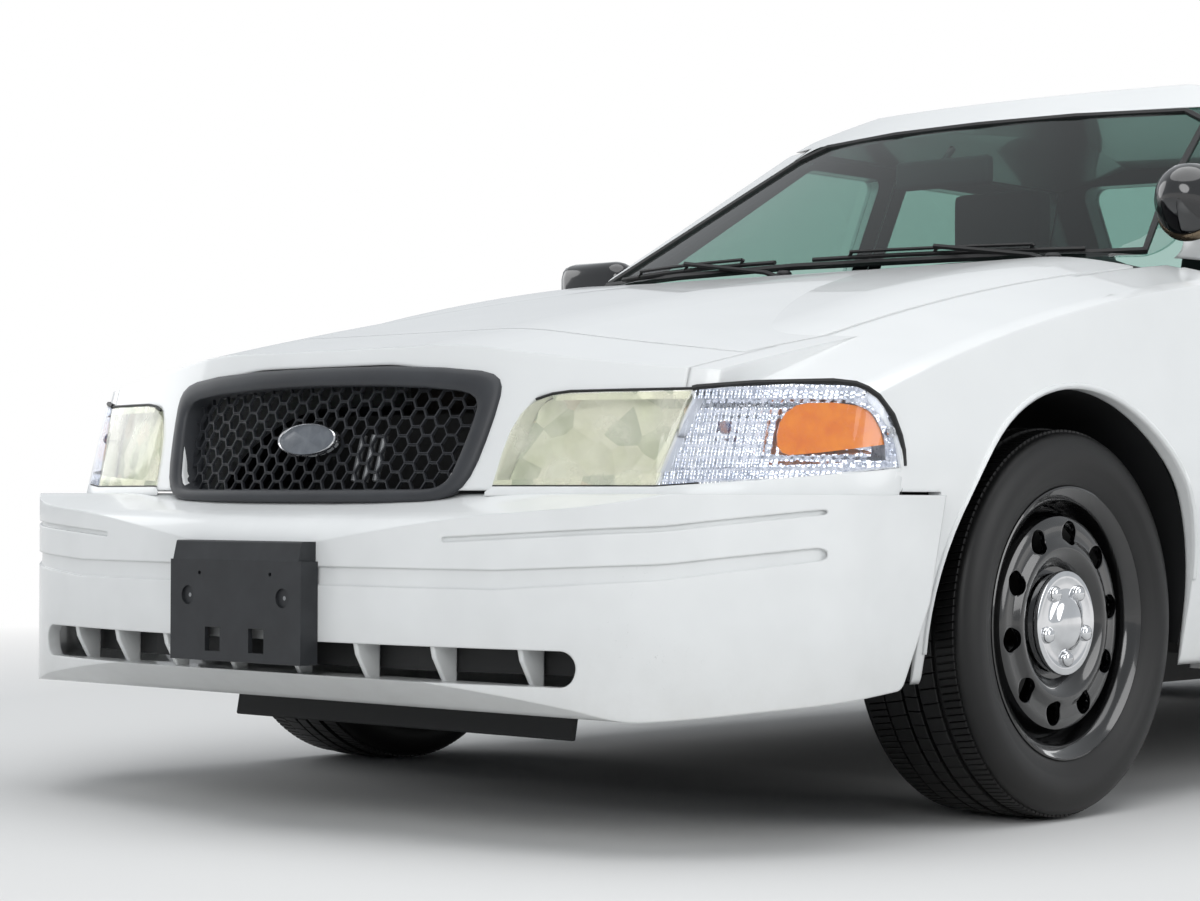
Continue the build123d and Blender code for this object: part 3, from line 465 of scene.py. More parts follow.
def draped(name: str, outline: Sequence[tuple[float, float]], depth: float, thickness: float,
           step: float = 0.014) -> bpy.types.Object:
    """A sheet drawn flat and then laid round the nose.

    Args:
        name: the sheet's name.
        outline: its corners, as (distance round the nose, height) pairs.
        depth: how far behind the skin its face lies.
        thickness: its thickness.
        step: the width of its facets.

    Returns:
        The sheet.
    """
    skin = NoseSkin()
    piece = traced(name, [Vector((t, 0, z)) for t, z in outline], closed=True)
    low = min(t for t, _ in outline)
    high = max(t for t, _ in outline)
    cuts = max(2, round((high - low) / step))
    with editing(piece):
        for i in range(1, cuts):
            bpy.ops.mesh.select_all(action="SELECT")
            bpy.ops.mesh.bisect(plane_co=(low + (high - low) * i / cuts, 0, 0), plane_no=(1, 0, 0))
        bpy.ops.mesh.select_all(action="SELECT")
        bpy.ops.mesh.extrude_region_move(TRANSFORM_OT_translate={"value": (0, thickness, 0)})
    settle(piece, name)
    for vertex in piece.data.vertices:
        around, inward, z = vertex.co
        vertex.co = skin.point(around, z, depth + inward)
    with editing(piece):
        bpy.ops.mesh.select_all(action="SELECT")
        bpy.ops.mesh.normals_make_consistent(inside=False)
    return piece


def banded(name: str, loops: Sequence[Sequence[Vector]]) -> bpy.types.Object:
    """A closed ring whose section runs from loop to loop and back to the first.

    Args:
        name: the ring's name.
        loops: its loops of points, each with as many points as the others.

    Returns:
        The finished mesh object.
    """
    bands = []
    for loop, following in zip(loops, [*loops[1:], loops[0]]):
        edges = []
        for points in (loop, following):
            edge = traced("edge", list(points), closed=True)
            with editing(edge):
                bpy.ops.mesh.select_all(action="SELECT")
                bpy.ops.mesh.delete(type="ONLY_FACE")
            edges.append(settle(edge, "edge"))
        band = joined(edges, "band")
        with editing(band):
            bpy.ops.mesh.select_all(action="SELECT")
            bpy.ops.mesh.bridge_edge_loops()
        bands.append(band)
    ring = joined(bands, name)
    with editing(ring):
        bpy.ops.mesh.select_all(action="SELECT")
        bpy.ops.mesh.remove_doubles(threshold=1e-5)
        bpy.ops.mesh.normals_make_consistent(inside=False)
    return settle(ring, name)


# Materials


def linear(code: str, alpha: float = 1.0) -> tuple[float, float, float, float]:
    """Turns an sRGB hex colour to linear light.

    Args:
        code: the colour, as # and six digits.
        alpha: its fourth value.

    Returns:
        Red, green, blue and alpha.
    """
    parts = [int(code[i:i + 2], 16) / 255 for i in (1, 3, 5)]
    shades = [c / 12.92 if c <= 0.04045 else ((c + 0.055) / 1.055) ** 2.4 for c in parts]
    return (*shades, alpha)


def add_node(tree: bpy.types.NodeTree, kind: str, settings: dict | None = None,
             links: dict | None = None) -> bpy.types.Node:
    """Adds a node.

    Args:
        tree: the material's or world's node tree.
        kind: the node's type name without its prefix ShaderNode.
        settings: socket or attribute names to values.
        links: input names to the output sockets that feed them.

    Returns:
        The new node.
    """
    node = tree.nodes.new("ShaderNode" + kind)
    for key, value in (settings or {}).items():
        if isinstance(key, int) or key in node.inputs:
            node.inputs[key].default_value = value
        else:
            setattr(node, key, value)
    for key, source in (links or {}).items():
        tree.links.new(source, node.inputs[key])
    return node


def blank_material(name: str) -> bpy.types.Material:
    """A new material with an empty node tree."""
    material = bpy.data.materials.new(name)
    material.use_nodes = True
    material.node_tree.nodes.clear()
    return material


@dataclass(frozen=True)
class Finish:
    """A real surface: its colours, gloss, and the scale of its grain in millimetres."""

    name: str
    colour: str
    shade: str
    roughness: float = 0.5
    metallic: float = 0.0
    coat: float = 0.0
    grain_mm: float = 0.0
    grain_height_mm: float = 0.0
    patch_mm: float = 300.0
    sheen: float = 0.0
    roughness_spread: float = 0.08
    dust: str = ""
    dust_height: float = 0.0
    specular: float = 0.5
    crease_mm: float = 0.0
    scuffs: tuple[tuple[float, float, float, float], ...] = ()
    mottle_mm: float = 0.0
    # Pale colours given to the facet cells: painted reflections
    facet_reflection_colours: tuple[str, ...] = ()
    rib_mm: float = 0.0
    # Colour of the faces that look towards the cabin: dark trim together with painted shade inside the cabin
    lining_and_painted_shade: str = ""

    def make(self) -> bpy.types.Material:
        """Builds the material, or returns it if it is built."""
        known = bpy.data.materials.get(self.name)
        if known:
            return known
        material = blank_material(self.name)
        tree = material.node_tree
        out = add_node(tree, "OutputMaterial")
        place = add_node(tree, "TexCoord").outputs["Object"]
        patches = add_node(tree, "TexNoise", {"Scale": 1000 / self.patch_mm, "Detail": 4.0, "Roughness": 0.6},
                           {"Vector": place})
        mix = add_node(tree, "Mix", {"data_type": "RGBA", 6: linear(self.colour), 7: linear(self.shade)})
        span = add_node(tree, "MapRange", {"From Min": 0.38, "From Max": 0.72},
                        {"Value": patches.outputs["Fac"]})
        tree.links.new(span.outputs["Result"], mix.inputs[0])
        colour = mix.outputs[2]
        rough = add_node(tree, "MapRange", {"To Min": self.roughness - self.roughness_spread / 2,
                                            "To Max": self.roughness + self.roughness_spread},
                         {"Value": patches.outputs["Fac"]}).outputs["Result"]
        for layer in (self.dusted, self.scuffed, self.painted_facet_reflections, self.lined_and_painted_shade):
            colour = layer(tree, place, colour)
        shader = add_node(tree, "BsdfPrincipled",
                          {"Metallic": self.metallic, "Coat Weight": self.coat, "Coat Roughness": 0.04,
                           "Sheen Weight": self.sheen, "Specular IOR Level": self.specular},
                          {"Base Color": colour, "Roughness": rough})
        self.give_relief(tree, place, shader)
        tree.links.new(shader.outputs[0], out.inputs["Surface"])
        return material

    def dusted(self, tree: bpy.types.NodeTree, place: bpy.types.NodeSocket,
               colour: bpy.types.NodeSocket) -> bpy.types.NodeSocket:
        """Lays road dust over a colour, thicker towards the ground.

        Args:
            tree: the material's node tree.
            place: the Object coordinates.
            colour: the colour beneath.

        Returns:
            The colour's socket.
        """
        if not self.dust:
            return colour
        height = add_node(tree, "SeparateXYZ", links={0: place}).outputs["Z"]
        low = add_node(tree, "MapRange", {"From Min": self.dust_height, "From Max": 0.02, "To Max": 0.75},
                       {"Value": height}).outputs["Result"]
        specks = add_node(tree, "TexNoise", {"Scale": 14.0, "Detail": 8.0, "Roughness": 0.7},
                          {"Vector": place})
        amount = add_node(tree, "Math", {"operation": "MULTIPLY"},
                          {0: low, 1: specks.outputs["Fac"]}).outputs[0]
        return add_node(tree, "Mix", {"data_type": "RGBA", 7: linear(self.dust)},
                        {0: amount, 6: colour}).outputs[2]

    def scuffed(self, tree: bpy.types.NodeTree, place: bpy.types.NodeSocket,
                colour: bpy.types.NodeSocket) -> bpy.types.NodeSocket:
        """Rubs a colour grey in streaks round each scuffed place.

        Args:
            tree: the material's node tree.
            place: the Object coordinates.
            colour: the colour beneath.

        Returns:
            The colour's socket.
        """
        for x, y, z, reach in self.scuffs:
            away = add_node(tree, "VectorMath", {"operation": "DISTANCE", 1: (x, y, z)},
                            {0: place}).outputs["Value"]
            near = add_node(tree, "MapRange", {"From Min": reach, "From Max": 0.0, "To Max": 0.7},
                            {"Value": away}).outputs["Result"]
            marks = add_node(tree, "TexNoise", {"Scale": 140.0, "Detail": 9.0, "Roughness": 0.8},
                             {"Vector": place})
            streaks = add_node(tree, "MapRange", {"From Min": 0.60, "From Max": 0.70},
                               {"Value": marks.outputs["Fac"]}).outputs["Result"]
            worn = add_node(tree, "Math", {"operation": "MULTIPLY"}, {0: near, 1: streaks}).outputs[0]
            colour = add_node(tree, "Mix", {"data_type": "RGBA", 7: linear(RUBBED_GREY)},
                              {0: worn, 6: colour}).outputs[2]
        return colour

    def painted_facet_reflections(self, tree: bpy.types.NodeTree, place: bpy.types.NodeSocket,
                colour: bpy.types.NodeSocket) -> bpy.types.NodeSocket:
        """Gives each facet one of the finish's pale colours: painted reflections of light.

        Args:
            tree: the material's node tree.
            place: the Object coordinates.
            colour: the colour beneath.

        Returns:
            The colour's socket.
        """
        if not self.facet_reflection_colours:
            return colour
        cells = add_node(tree, "TexVoronoi", {"Scale": 1000 / self.mottle_mm, "Randomness": 1.0},
                         {"Vector": place})
        pick = add_node(tree, "SeparateColor", links={0: cells.outputs["Color"]}).outputs[0]
        for i, shade in enumerate(self.facet_reflection_colours):
            step = (i + 1) / (len(self.facet_reflection_colours) + 1)
            here = add_node(tree, "Math", {"operation": "GREATER_THAN", 1: step}, {0: pick}).outputs[0]
            colour = add_node(tree, "Mix", {"data_type": "RGBA", 7: linear(shade)},
                              {0: here, 6: colour}).outputs[2]
        return colour

    def lined_and_painted_shade(self, tree: bpy.types.NodeTree, place: bpy.types.NodeSocket,
              colour: bpy.types.NodeSocket) -> bpy.types.NodeSocket:
        """Gives the faces that look towards the cabin a near-black colour: partly the cabin's dark trim,
        partly painted shade inside the cabin.

        Args:
            tree: the material's node tree.
            place: the Object coordinates.
            colour: the colour beneath.

        Returns:
            The colour's socket.
        """
        if not self.lining_and_painted_shade:
            return colour
        spot = add_node(tree, "VectorMath", {"operation": "SUBTRACT", 0: CABIN_MIDDLE}, {1: place}).outputs[0]
        facing = add_node(tree, "TexCoord").outputs["Normal"]
        inward = add_node(tree, "VectorMath", {"operation": "DOT_PRODUCT"},
                          {0: spot, 1: facing}).outputs["Value"]
        inside = add_node(tree, "Math", {"operation": "GREATER_THAN", 1: 0.02}, {0: inward}).outputs[0]
        return add_node(tree, "Mix", {"data_type": "RGBA", 7: linear(self.lining_and_painted_shade)},
                        {0: inside, 6: colour}).outputs[2]

    def give_relief(self, tree: bpy.types.NodeTree, place: bpy.types.NodeSocket,
                    shader: bpy.types.Node) -> None:
        """Links the softened creases, facet bumps, ribs or grain to a shader; the last that the finish has
        holds.

        Args:
            tree: the material's node tree.
            place: the Object coordinates.
            shader: the shader whose normal is changed.
        """
        normal = shader.inputs["Normal"]
        if self.crease_mm:
            edge = add_node(tree, "Bevel", {"samples": 8, "Radius": self.crease_mm * MM})
            tree.links.new(edge.outputs[0], normal)
        if self.mottle_mm:
            cells = add_node(tree, "TexVoronoi", {"Scale": 1000 / self.mottle_mm}, {"Vector": place})
            tilt = add_node(tree, "Bump", {"Strength": 0.8, "Distance": 0.006},
                            {"Height": cells.outputs["Distance"]})
            tree.links.new(tilt.outputs["Normal"], normal)
        if self.rib_mm:
            ribs = add_node(tree, "TexWave", {"Scale": 1000 / self.rib_mm / WAVE_TURN, "bands_direction": "X",
                                              "Distortion": 0.6, "Detail Scale": 3.0}, {"Vector": place})
            rows = add_node(tree, "TexWave", {"Scale": 550 / self.rib_mm / WAVE_TURN, "bands_direction": "Z",
                                              "Distortion": 1.0, "Detail Scale": 4.0}, {"Vector": place})
            both = add_node(tree, "Math", {"operation": "ADD"},
                            {0: ribs.outputs["Fac"], 1: rows.outputs["Fac"]})
            relief = add_node(tree, "Bump", {"Distance": 0.002}, {"Height": both.outputs[0]})
            tree.links.new(relief.outputs["Normal"], normal)
        if self.grain_mm:
            grain = add_node(tree, "TexNoise", {"Scale": 1000 / self.grain_mm, "Detail": 3.0},
                             {"Vector": place})
            bump = add_node(tree, "Bump", {"Strength": 1.0, "Distance": self.grain_height_mm * MM},
                            {"Height": grain.outputs["Fac"]})
            tree.links.new(bump.outputs["Normal"], normal)


@dataclass(frozen=True)
class Glazing:
    """Clear or tinted glass that lets light through thin walls."""

    name: str
    tint: str
    roughness: float = 0.0
    clear: float = 0.75
    mirror: float = 1.0
    haze: str = ""
    haze_mm: float = 40.0
    rib_mm: float = 0.0
    rib_height_mm: float = 0.6

    def make(self) -> bpy.types.Material:
        """Builds the material, or returns it if it is built."""
        known = bpy.data.materials.get(self.name)
        if known:
            return known
        material = blank_material(self.name)
        tree = material.node_tree
        out = add_node(tree, "OutputMaterial")
        place = add_node(tree, "TexCoord").outputs["Object"]
        gloss = add_node(tree, "BsdfPrincipled",
                         {"Base Color": linear("#FFFFFF"), "Metallic": 1.0, "Roughness": self.roughness})
        body = add_node(tree, "BsdfPrincipled",
                        {"Base Color": linear(self.haze or self.tint), "Roughness": 0.4})
        through = add_node(tree, "BsdfTransparent", {"Color": linear(self.tint)})
        facing = add_node(tree, "NewGeometry").outputs["Backfacing"]
        outward = add_node(tree, "Math", {"operation": "SUBTRACT", 0: self.mirror}, {1: facing})
        outward.use_clamp = True
        fresnel = add_node(tree, "Fresnel", {"IOR": 1.5}).outputs[0]
        share = add_node(tree, "Math", {"operation": "MULTIPLY"},
                         {0: fresnel, 1: outward.outputs[0]}).outputs[0]
        if self.rib_mm:
            ribs = add_node(tree, "TexWave",
                            {"Scale": 1000 / self.rib_mm / WAVE_TURN, "bands_direction": "X"},
                            {"Vector": place})
            bump = add_node(tree, "Bump", {"Distance": self.rib_height_mm * MM},
                            {"Height": ribs.outputs["Fac"]})
            tree.links.new(bump.outputs["Normal"], gloss.inputs["Normal"])
        filled = add_node(tree, "MixShader", {0: 1 - self.clear}, {1: through.outputs[0], 2: body.outputs[0]})
        if self.haze:
            cloud = add_node(tree, "TexNoise", {"Scale": 1000 / self.haze_mm, "Detail": 5.0},
                             {"Vector": place})
            level = add_node(tree, "MapRange", {"From Min": 0.4, "From Max": 0.7, "To Min": 1 - self.clear,
                                                "To Max": 1.25 - self.clear},
                             {"Value": cloud.outputs["Fac"]}).outputs["Result"]
            tree.links.new(level, filled.inputs[0])
        blend = add_node(tree, "MixShader", links={0: share, 1: filled.outputs[0], 2: gloss.outputs[0]})
        tree.links.new(blend.outputs[0], out.inputs["Surface"])
        return material


# White enamel, clear-coated, with road film towards the ground
WHITE_ENAMEL = Finish("white_enamel", "#E6E8E8", "#DCDEDE", 0.28, coat=0.6, patch_mm=700, dust="#9A958A",
                      dust_height=0.42, roughness_spread=0.06, specular=0.4, crease_mm=9.0)
# The same enamel, with its faces towards the cabin made near black: partly dark cloth and vinyl trim, partly
# painted shade inside the cabin
LINED_AND_SHADED_ENAMEL = Finish("white_enamel_with_dark_lining", "#E6E8E8", "#DCDEDE", 0.28, coat=0.6, patch_mm=700,
                      dust="#9A958A", dust_height=0.42, roughness_spread=0.06, specular=0.4, crease_mm=9.0,
                      lining_and_painted_shade="#16191D")
# The same enamel on the bumper, rubbed grey where its left corner has touched
SCUFFED_ENAMEL = Finish("scuffed_white_enamel", "#E3E5E5", "#D6D8D8", 0.34, coat=0.4, patch_mm=400,
                        dust="#9A958A", dust_height=0.36, roughness_spread=0.08, specular=0.4, crease_mm=5.0,
                        scuffs=((0.732, -2.559, 0.335, 0.07), (0.785, -2.518, 0.306, 0.06),
                                (0.746, -2.544, 0.434, 0.05)))
# Unpainted grained polypropylene: dull and slightly greyed by weather
GREY_POLYPROPYLENE = Finish("grey_polypropylene", "#1E2023", "#2A2C2F", 0.52, grain_mm=1.2,
                            grain_height_mm=0.05, patch_mm=45, roughness_spread=0.12)
SURROUND_POLYPROPYLENE = Finish("weathered_polypropylene", "#26282C", "#303337", 0.48, grain_mm=1.0,
                                grain_height_mm=0.04, patch_mm=150, roughness_spread=0.1)
MESH_PLASTIC = Finish("satin_black_plastic", "#24262A", "#303236", 0.38, patch_mm=80, roughness_spread=0.1)
BLACK_POLYPROPYLENE = Finish("black_polypropylene", "#090A0B", "#121315", 0.55, grain_mm=1.0,
                             grain_height_mm=0.05)
# Butyl rubber seals: black, soft sheen
RUBBER_SEAL = Finish("rubber_seal", "#08090A", "#101113", 0.55, patch_mm=60)
# Tyre compound: near black, slightly brown where dust lies
TYRE_RUBBER = Finish("tyre_rubber", "#070707", "#0F0F10", 0.46, patch_mm=90, grain_mm=2.5,
                     grain_height_mm=0.06, dust="#211F1C", dust_height=0.16, specular=0.4)
# Powder-coated steel wheels: deep gloss black, a little dusted low down
BLACK_WHEEL_STEEL = Finish("black_powder_coated_steel", "#030304", "#070708", 0.16, patch_mm=60, coat=0.9,
                           dust="#141312", dust_height=0.16)
CHROME = Finish("chromed_steel", "#DEDFE1", "#C3C4C6", 0.06, metallic=1.0, patch_mm=120,
                roughness_spread=0.04)
REFLECTOR = Finish("aluminised_reflector", "#E6E7E4", "#C9CAC4", 0.12, metallic=1.0, patch_mm=60)
# Aluminised plastic with broad facet cells, each given a pale colour of its own as a painted reflection:
# broken patches of pale light
FACETED_REFLECTOR = Finish("faceted_reflector", "#F3F4EE", "#E2E4DC", 0.22, metallic=0.35, patch_mm=35,
                           mottle_mm=44, facet_reflection_colours=("#CDD4CA", "#FBFBF8", "#E6D8CF", "#F2F5EE", "#B9C4BA"))
# Aluminised plastic with fine ribs and rows
RIBBED_REFLECTOR = Finish("ribbed_reflector", "#F2F4F7", "#B4BAC4", 0.12, metallic=0.9, patch_mm=9, rib_mm=5)
BADGE_GREY = Finish("faded_badge_enamel", "#565B62", "#666B71", 0.35, coat=0.3, patch_mm=20)
FRAME_STEEL = Finish("waxed_frame_steel", "#111112", "#24211E", 0.6, patch_mm=120, grain_mm=5,
                     grain_height_mm=0.2)
CAST_IRON = Finish("cast_iron", "#2A2826", "#3A342F", 0.7, metallic=0.4, patch_mm=80, grain_mm=3,
                   grain_height_mm=0.2)
CAST_ALUMINIUM = Finish("cast_aluminium", "#9A9C9E", "#7E8082", 0.5, metallic=0.9, patch_mm=60, grain_mm=2,
                        grain_height_mm=0.1)
EXHAUST_STEEL = Finish("aluminised_pipe_steel", "#7A756E", "#5B4E42", 0.45, metallic=0.8, patch_mm=150)
SEAT_CLOTH = Finish("woven_seat_cloth", "#101216", "#191C21", 0.9, patch_mm=25, grain_mm=1.5,
                    grain_height_mm=0.2, sheen=0.2)
CABIN_VINYL = Finish("grained_cabin_vinyl", "#101214", "#191B1E", 0.65, grain_mm=2.0, grain_height_mm=0.12)
AMBER_PLASTIC = Finish("amber_acrylic", "#F68A0C", "#E56F04", 0.25, coat=0.3, patch_mm=24)
DARK_BULB = Finish("coated_bulb_glass", "#3A4468", "#9A5530", 0.12, coat=0.6, patch_mm=9)
SPOT_GLOSS = Finish("black_gloss_enamel", "#050507", "#0B0C10", 0.10, coat=0.8, patch_mm=200)
BRONZED_RIM = Finish("tarnished_chrome_rim", "#8A7A66", "#5E5244", 0.25, metallic=0.9, patch_mm=40)
WINDOW_GLASS = Glazing("tinted_window_glass", "#CFE0DC", clear=0.995, mirror=0.55)
DOOR_GLASS = Glazing("door_window_glass", "#C9DBD6", clear=0.99, mirror=0.7)
HEADLAMP_GLASS = Glazing("hazed_polycarbonate", "#FAFAF3", 0.10, clear=0.90, haze="#F1F0E4", haze_mm=70)
TURN_GLASS = Glazing("clear_prismatic_acrylic", "#FBFCFF", 0.03, clear=0.985, mirror=0.8, rib_mm=5)
TAIL_GLASS = Glazing("red_acrylic", "#B01512", 0.08, clear=0.6)


def dress(piece: bpy.types.Object, finish: Finish | Glazing) -> bpy.types.Object:
    """Gives a piece one finish all over."""
    piece.data.materials.clear()
    piece.data.materials.append(finish.make())
    return piece


def dress_node(name: str, finish: Finish | Glazing, nodes: dict) -> None:
    """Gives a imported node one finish, by its material slots.

    Args:
        name: the node's name.
        finish: what it is given.
        nodes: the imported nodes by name.
    """
    piece = nodes[name]
    if not piece.material_slots:
        piece.data.materials.append(finish.make())
    for slot in piece.material_slots:
        slot.material = finish.make()


# Sub-assemblies


@dataclass
class Studio:
    """Camera, lights, floor and background."""

    camera_at: Point = (3.5357, -5.7210, 0.5467)
    azimuth: float = 42.114
    pitch: float = 1.027
    roll: float = 0.198
    lens_mm: float = 83.577
    sensor_mm: float = 36.0

    def build(self) -> None:
        """Builds everything that isn't the car."""
        self.make_camera()
        self.make_world()
        self.make_floor()
        self.make_lights()

    def make_camera(self) -> None:
        """Places the camera as the photograph was taken."""
        a, p, r = (math.radians(v) for v in (self.azimuth, self.pitch, self.roll))
        forward = Vector((-math.sin(a) * math.cos(p), math.cos(a) * math.cos(p), math.sin(p)))
        right = Vector((math.cos(a), math.sin(a), 0))
        up = right.cross(forward)
        x_axis = right * math.cos(r) + up * math.sin(r)
        y_axis = up * math.cos(r) - right * math.sin(r)
        lens = bpy.data.cameras.new("photo_camera")
        lens.lens = self.lens_mm
        lens.sensor_width = self.sensor_mm
        lens.clip_start = 0.05
        lens.clip_end = 100
        camera = bpy.data.objects.new("photo_camera", lens)
        rows = Matrix((x_axis, y_axis, -forward)).transposed()
        camera.matrix_world = Matrix.Translation(self.camera_at) @ rows.to_4x4()
        bpy.context.scene.collection.objects.link(camera)
        bpy.context.scene.camera = camera
        bpy.context.scene.view_settings.view_transform = "Standard"

    def make_world(self) -> None:
        """A white background to the eye and through glass, light grey in gloss, and a softer light."""
        world = bpy.data.worlds.new("studio")
        bpy.context.scene.world = world
        world.use_nodes = True
        tree = world.node_tree
        tree.nodes.clear()
        path = add_node(tree, "LightPath")
        seen = add_node(tree, "Math", {"operation": "MAXIMUM"},
                        {0: path.outputs["Is Camera Ray"], 1: path.outputs["Is Transmission Ray"]}).outputs[0]
        soft = add_node(tree, "Background", {"Color": linear("#DDE4EC"), "Strength": 0.42})
        gloss = add_node(tree, "Background", {"Color": linear("#E6EAEE"), "Strength": 0.75})
        white = add_node(tree, "Background", {"Color": linear("#FFFFFF"), "Strength": 1.0})
        mirror = add_node(tree, "MixShader", links={0: path.outputs["Is Glossy Ray"], 1: soft.outputs[0],
                                                    2: gloss.outputs[0]})
        blend = add_node(tree, "MixShader", links={0: seen, 1: mirror.outputs[0], 2: white.outputs[0]})
        out = add_node(tree, "OutputWorld")
        tree.links.new(blend.outputs[0], out.inputs["Surface"])

    def make_floor(self) -> None:
        """A pale floor that keeps the car's shadow and fades into the white background."""
        deselect()
        bpy.ops.mesh.primitive_plane_add(size=160, location=(0, 0, -0.001))
        floor = bpy.context.view_layer.objects.active
        floor.name = "studio_floor"
        material = blank_material("fading_studio_floor")
        tree = material.node_tree
        place = add_node(tree, "TexCoord").outputs["Object"]
        reach = add_node(tree, "VectorMath", {"operation": "LENGTH"}, {0: place}).outputs["Value"]
        fade = add_node(tree, "MapRange", {"From Min": 3.0, "From Max": 6.5},
                        {"Value": reach}).outputs["Result"]
        matt = add_node(tree, "BsdfDiffuse", {"Color": linear("#D8D8D7")})
        white = add_node(tree, "Emission", {"Color": linear("#FFFFFF"), "Strength": 1.0})
        blend = add_node(tree, "MixShader", links={0: fade, 1: matt.outputs[0], 2: white.outputs[0]})
        out = add_node(tree, "OutputMaterial")
        tree.links.new(blend.outputs[0], out.inputs["Surface"])
        floor.data.materials.append(material)
        floor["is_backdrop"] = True

    def make_lights(self) -> None:
        """A large overcast panel above, with a weaker one to each side."""
        panels = [
            ("sky_panel", (0.5, -1.5, 6.5), (0, 0, 0), 9.0, 330),
            ("front_panel", (3.5, -7.5, 3.2), (0, -1.5, 0.5), 4.0, 150),
            ("left_panel", (7.0, 0.5, 2.8), (0, 0, 0.6), 4.5, 130),
            ("right_panel", (-6.5, -2.0, 3.0), (0, 0, 0.6), 4.5, 90),
            ("rear_panel", (0.0, 7.5, 3.2), (0, 0, 0.6), 4.5, 110)]
        for name, place, target, size, power in panels:
            lamp = bpy.data.lights.new(name, "AREA")
            lamp.shape = "DISK"
            lamp.size = size
            lamp.energy = power
            piece = bpy.data.objects.new(name, lamp)
            piece.location = place
            piece.rotation_euler = (Vector(target) - Vector(place)).to_track_quat("-Z", "Y").to_euler()
            bpy.context.scene.collection.objects.link(piece)


@dataclass
class Bodywork:
    """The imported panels, their glass and the frame beneath, each in its own finish."""

    nodes: dict
    painted: tuple[str, ...] = ("roof", "hood", "trunk_lid", "nose_panel", "fender_left", "fender_right",
                                "side_frame_left", "side_frame_right", "rear_shelf", "rear_bumper",
                                "door_front_left", "door_front_right", "door_rear_left", "door_rear_right")

    def dress(self) -> None:
        """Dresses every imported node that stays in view."""
        for name in self.painted:
            # The roof, doors and side frames take the near-black inner colour, which is partly painted shade
            # inside the cabin
            lined_and_painted_shade = name == "roof" or name.startswith(("door", "side_frame"))
            dress_node(name, LINED_AND_SHADED_ENAMEL if lined_and_painted_shade else WHITE_ENAMEL, self.nodes)
        table = {
            SCUFFED_ENAMEL: ("front_bumper",),
            WINDOW_GLASS: ("windscreen", "rear_glass"),
            DOOR_GLASS: ("glass_front_left", "glass_front_right", "glass_rear_left", "glass_rear_right"),
            # The radiator is dressed black rather than aluminium, partly as painted shade in the recess
            # behind the grille
            BLACK_POLYPROPYLENE: ("cowl", "grille_mesh", "air_deflector", "intake_panel", "wheel_liners",
                                  "mirror_left", "mirror_right", "grille_surround", "radiator"),
            GREY_POLYPROPYLENE: ("plate_bracket",),
            HEADLAMP_GLASS: ("headlamps",),
            TURN_GLASS: ("turn_lamps",),
            TAIL_GLASS: ("tail_lamps",),
            FRAME_STEEL: ("chassis_frame", "front_suspension", "fuel_tank", "floor_pan"),
            CAST_IRON: ("engine_block", "rear_axle", "knuckle_left", "knuckle_right"),
            EXHAUST_STEEL: ("exhaust",),
            CABIN_VINYL: ("dashboard", "steering_wheel"),
            SEAT_CLOTH: ("front_seats", "rear_seat"),
            SPOT_GLOSS: ("spotlight",),
            BLACK_WHEEL_STEEL: ("wheel_front_left", "wheel_front_right", "wheel_rear_left",
                                "wheel_rear_right"),
            TYRE_RUBBER: ("tyre_front_left", "tyre_front_right", "tyre_rear_left", "tyre_rear_right"),
        }
        for finish, names in table.items():
            for name in names:
                dress_node(name, finish, self.nodes)


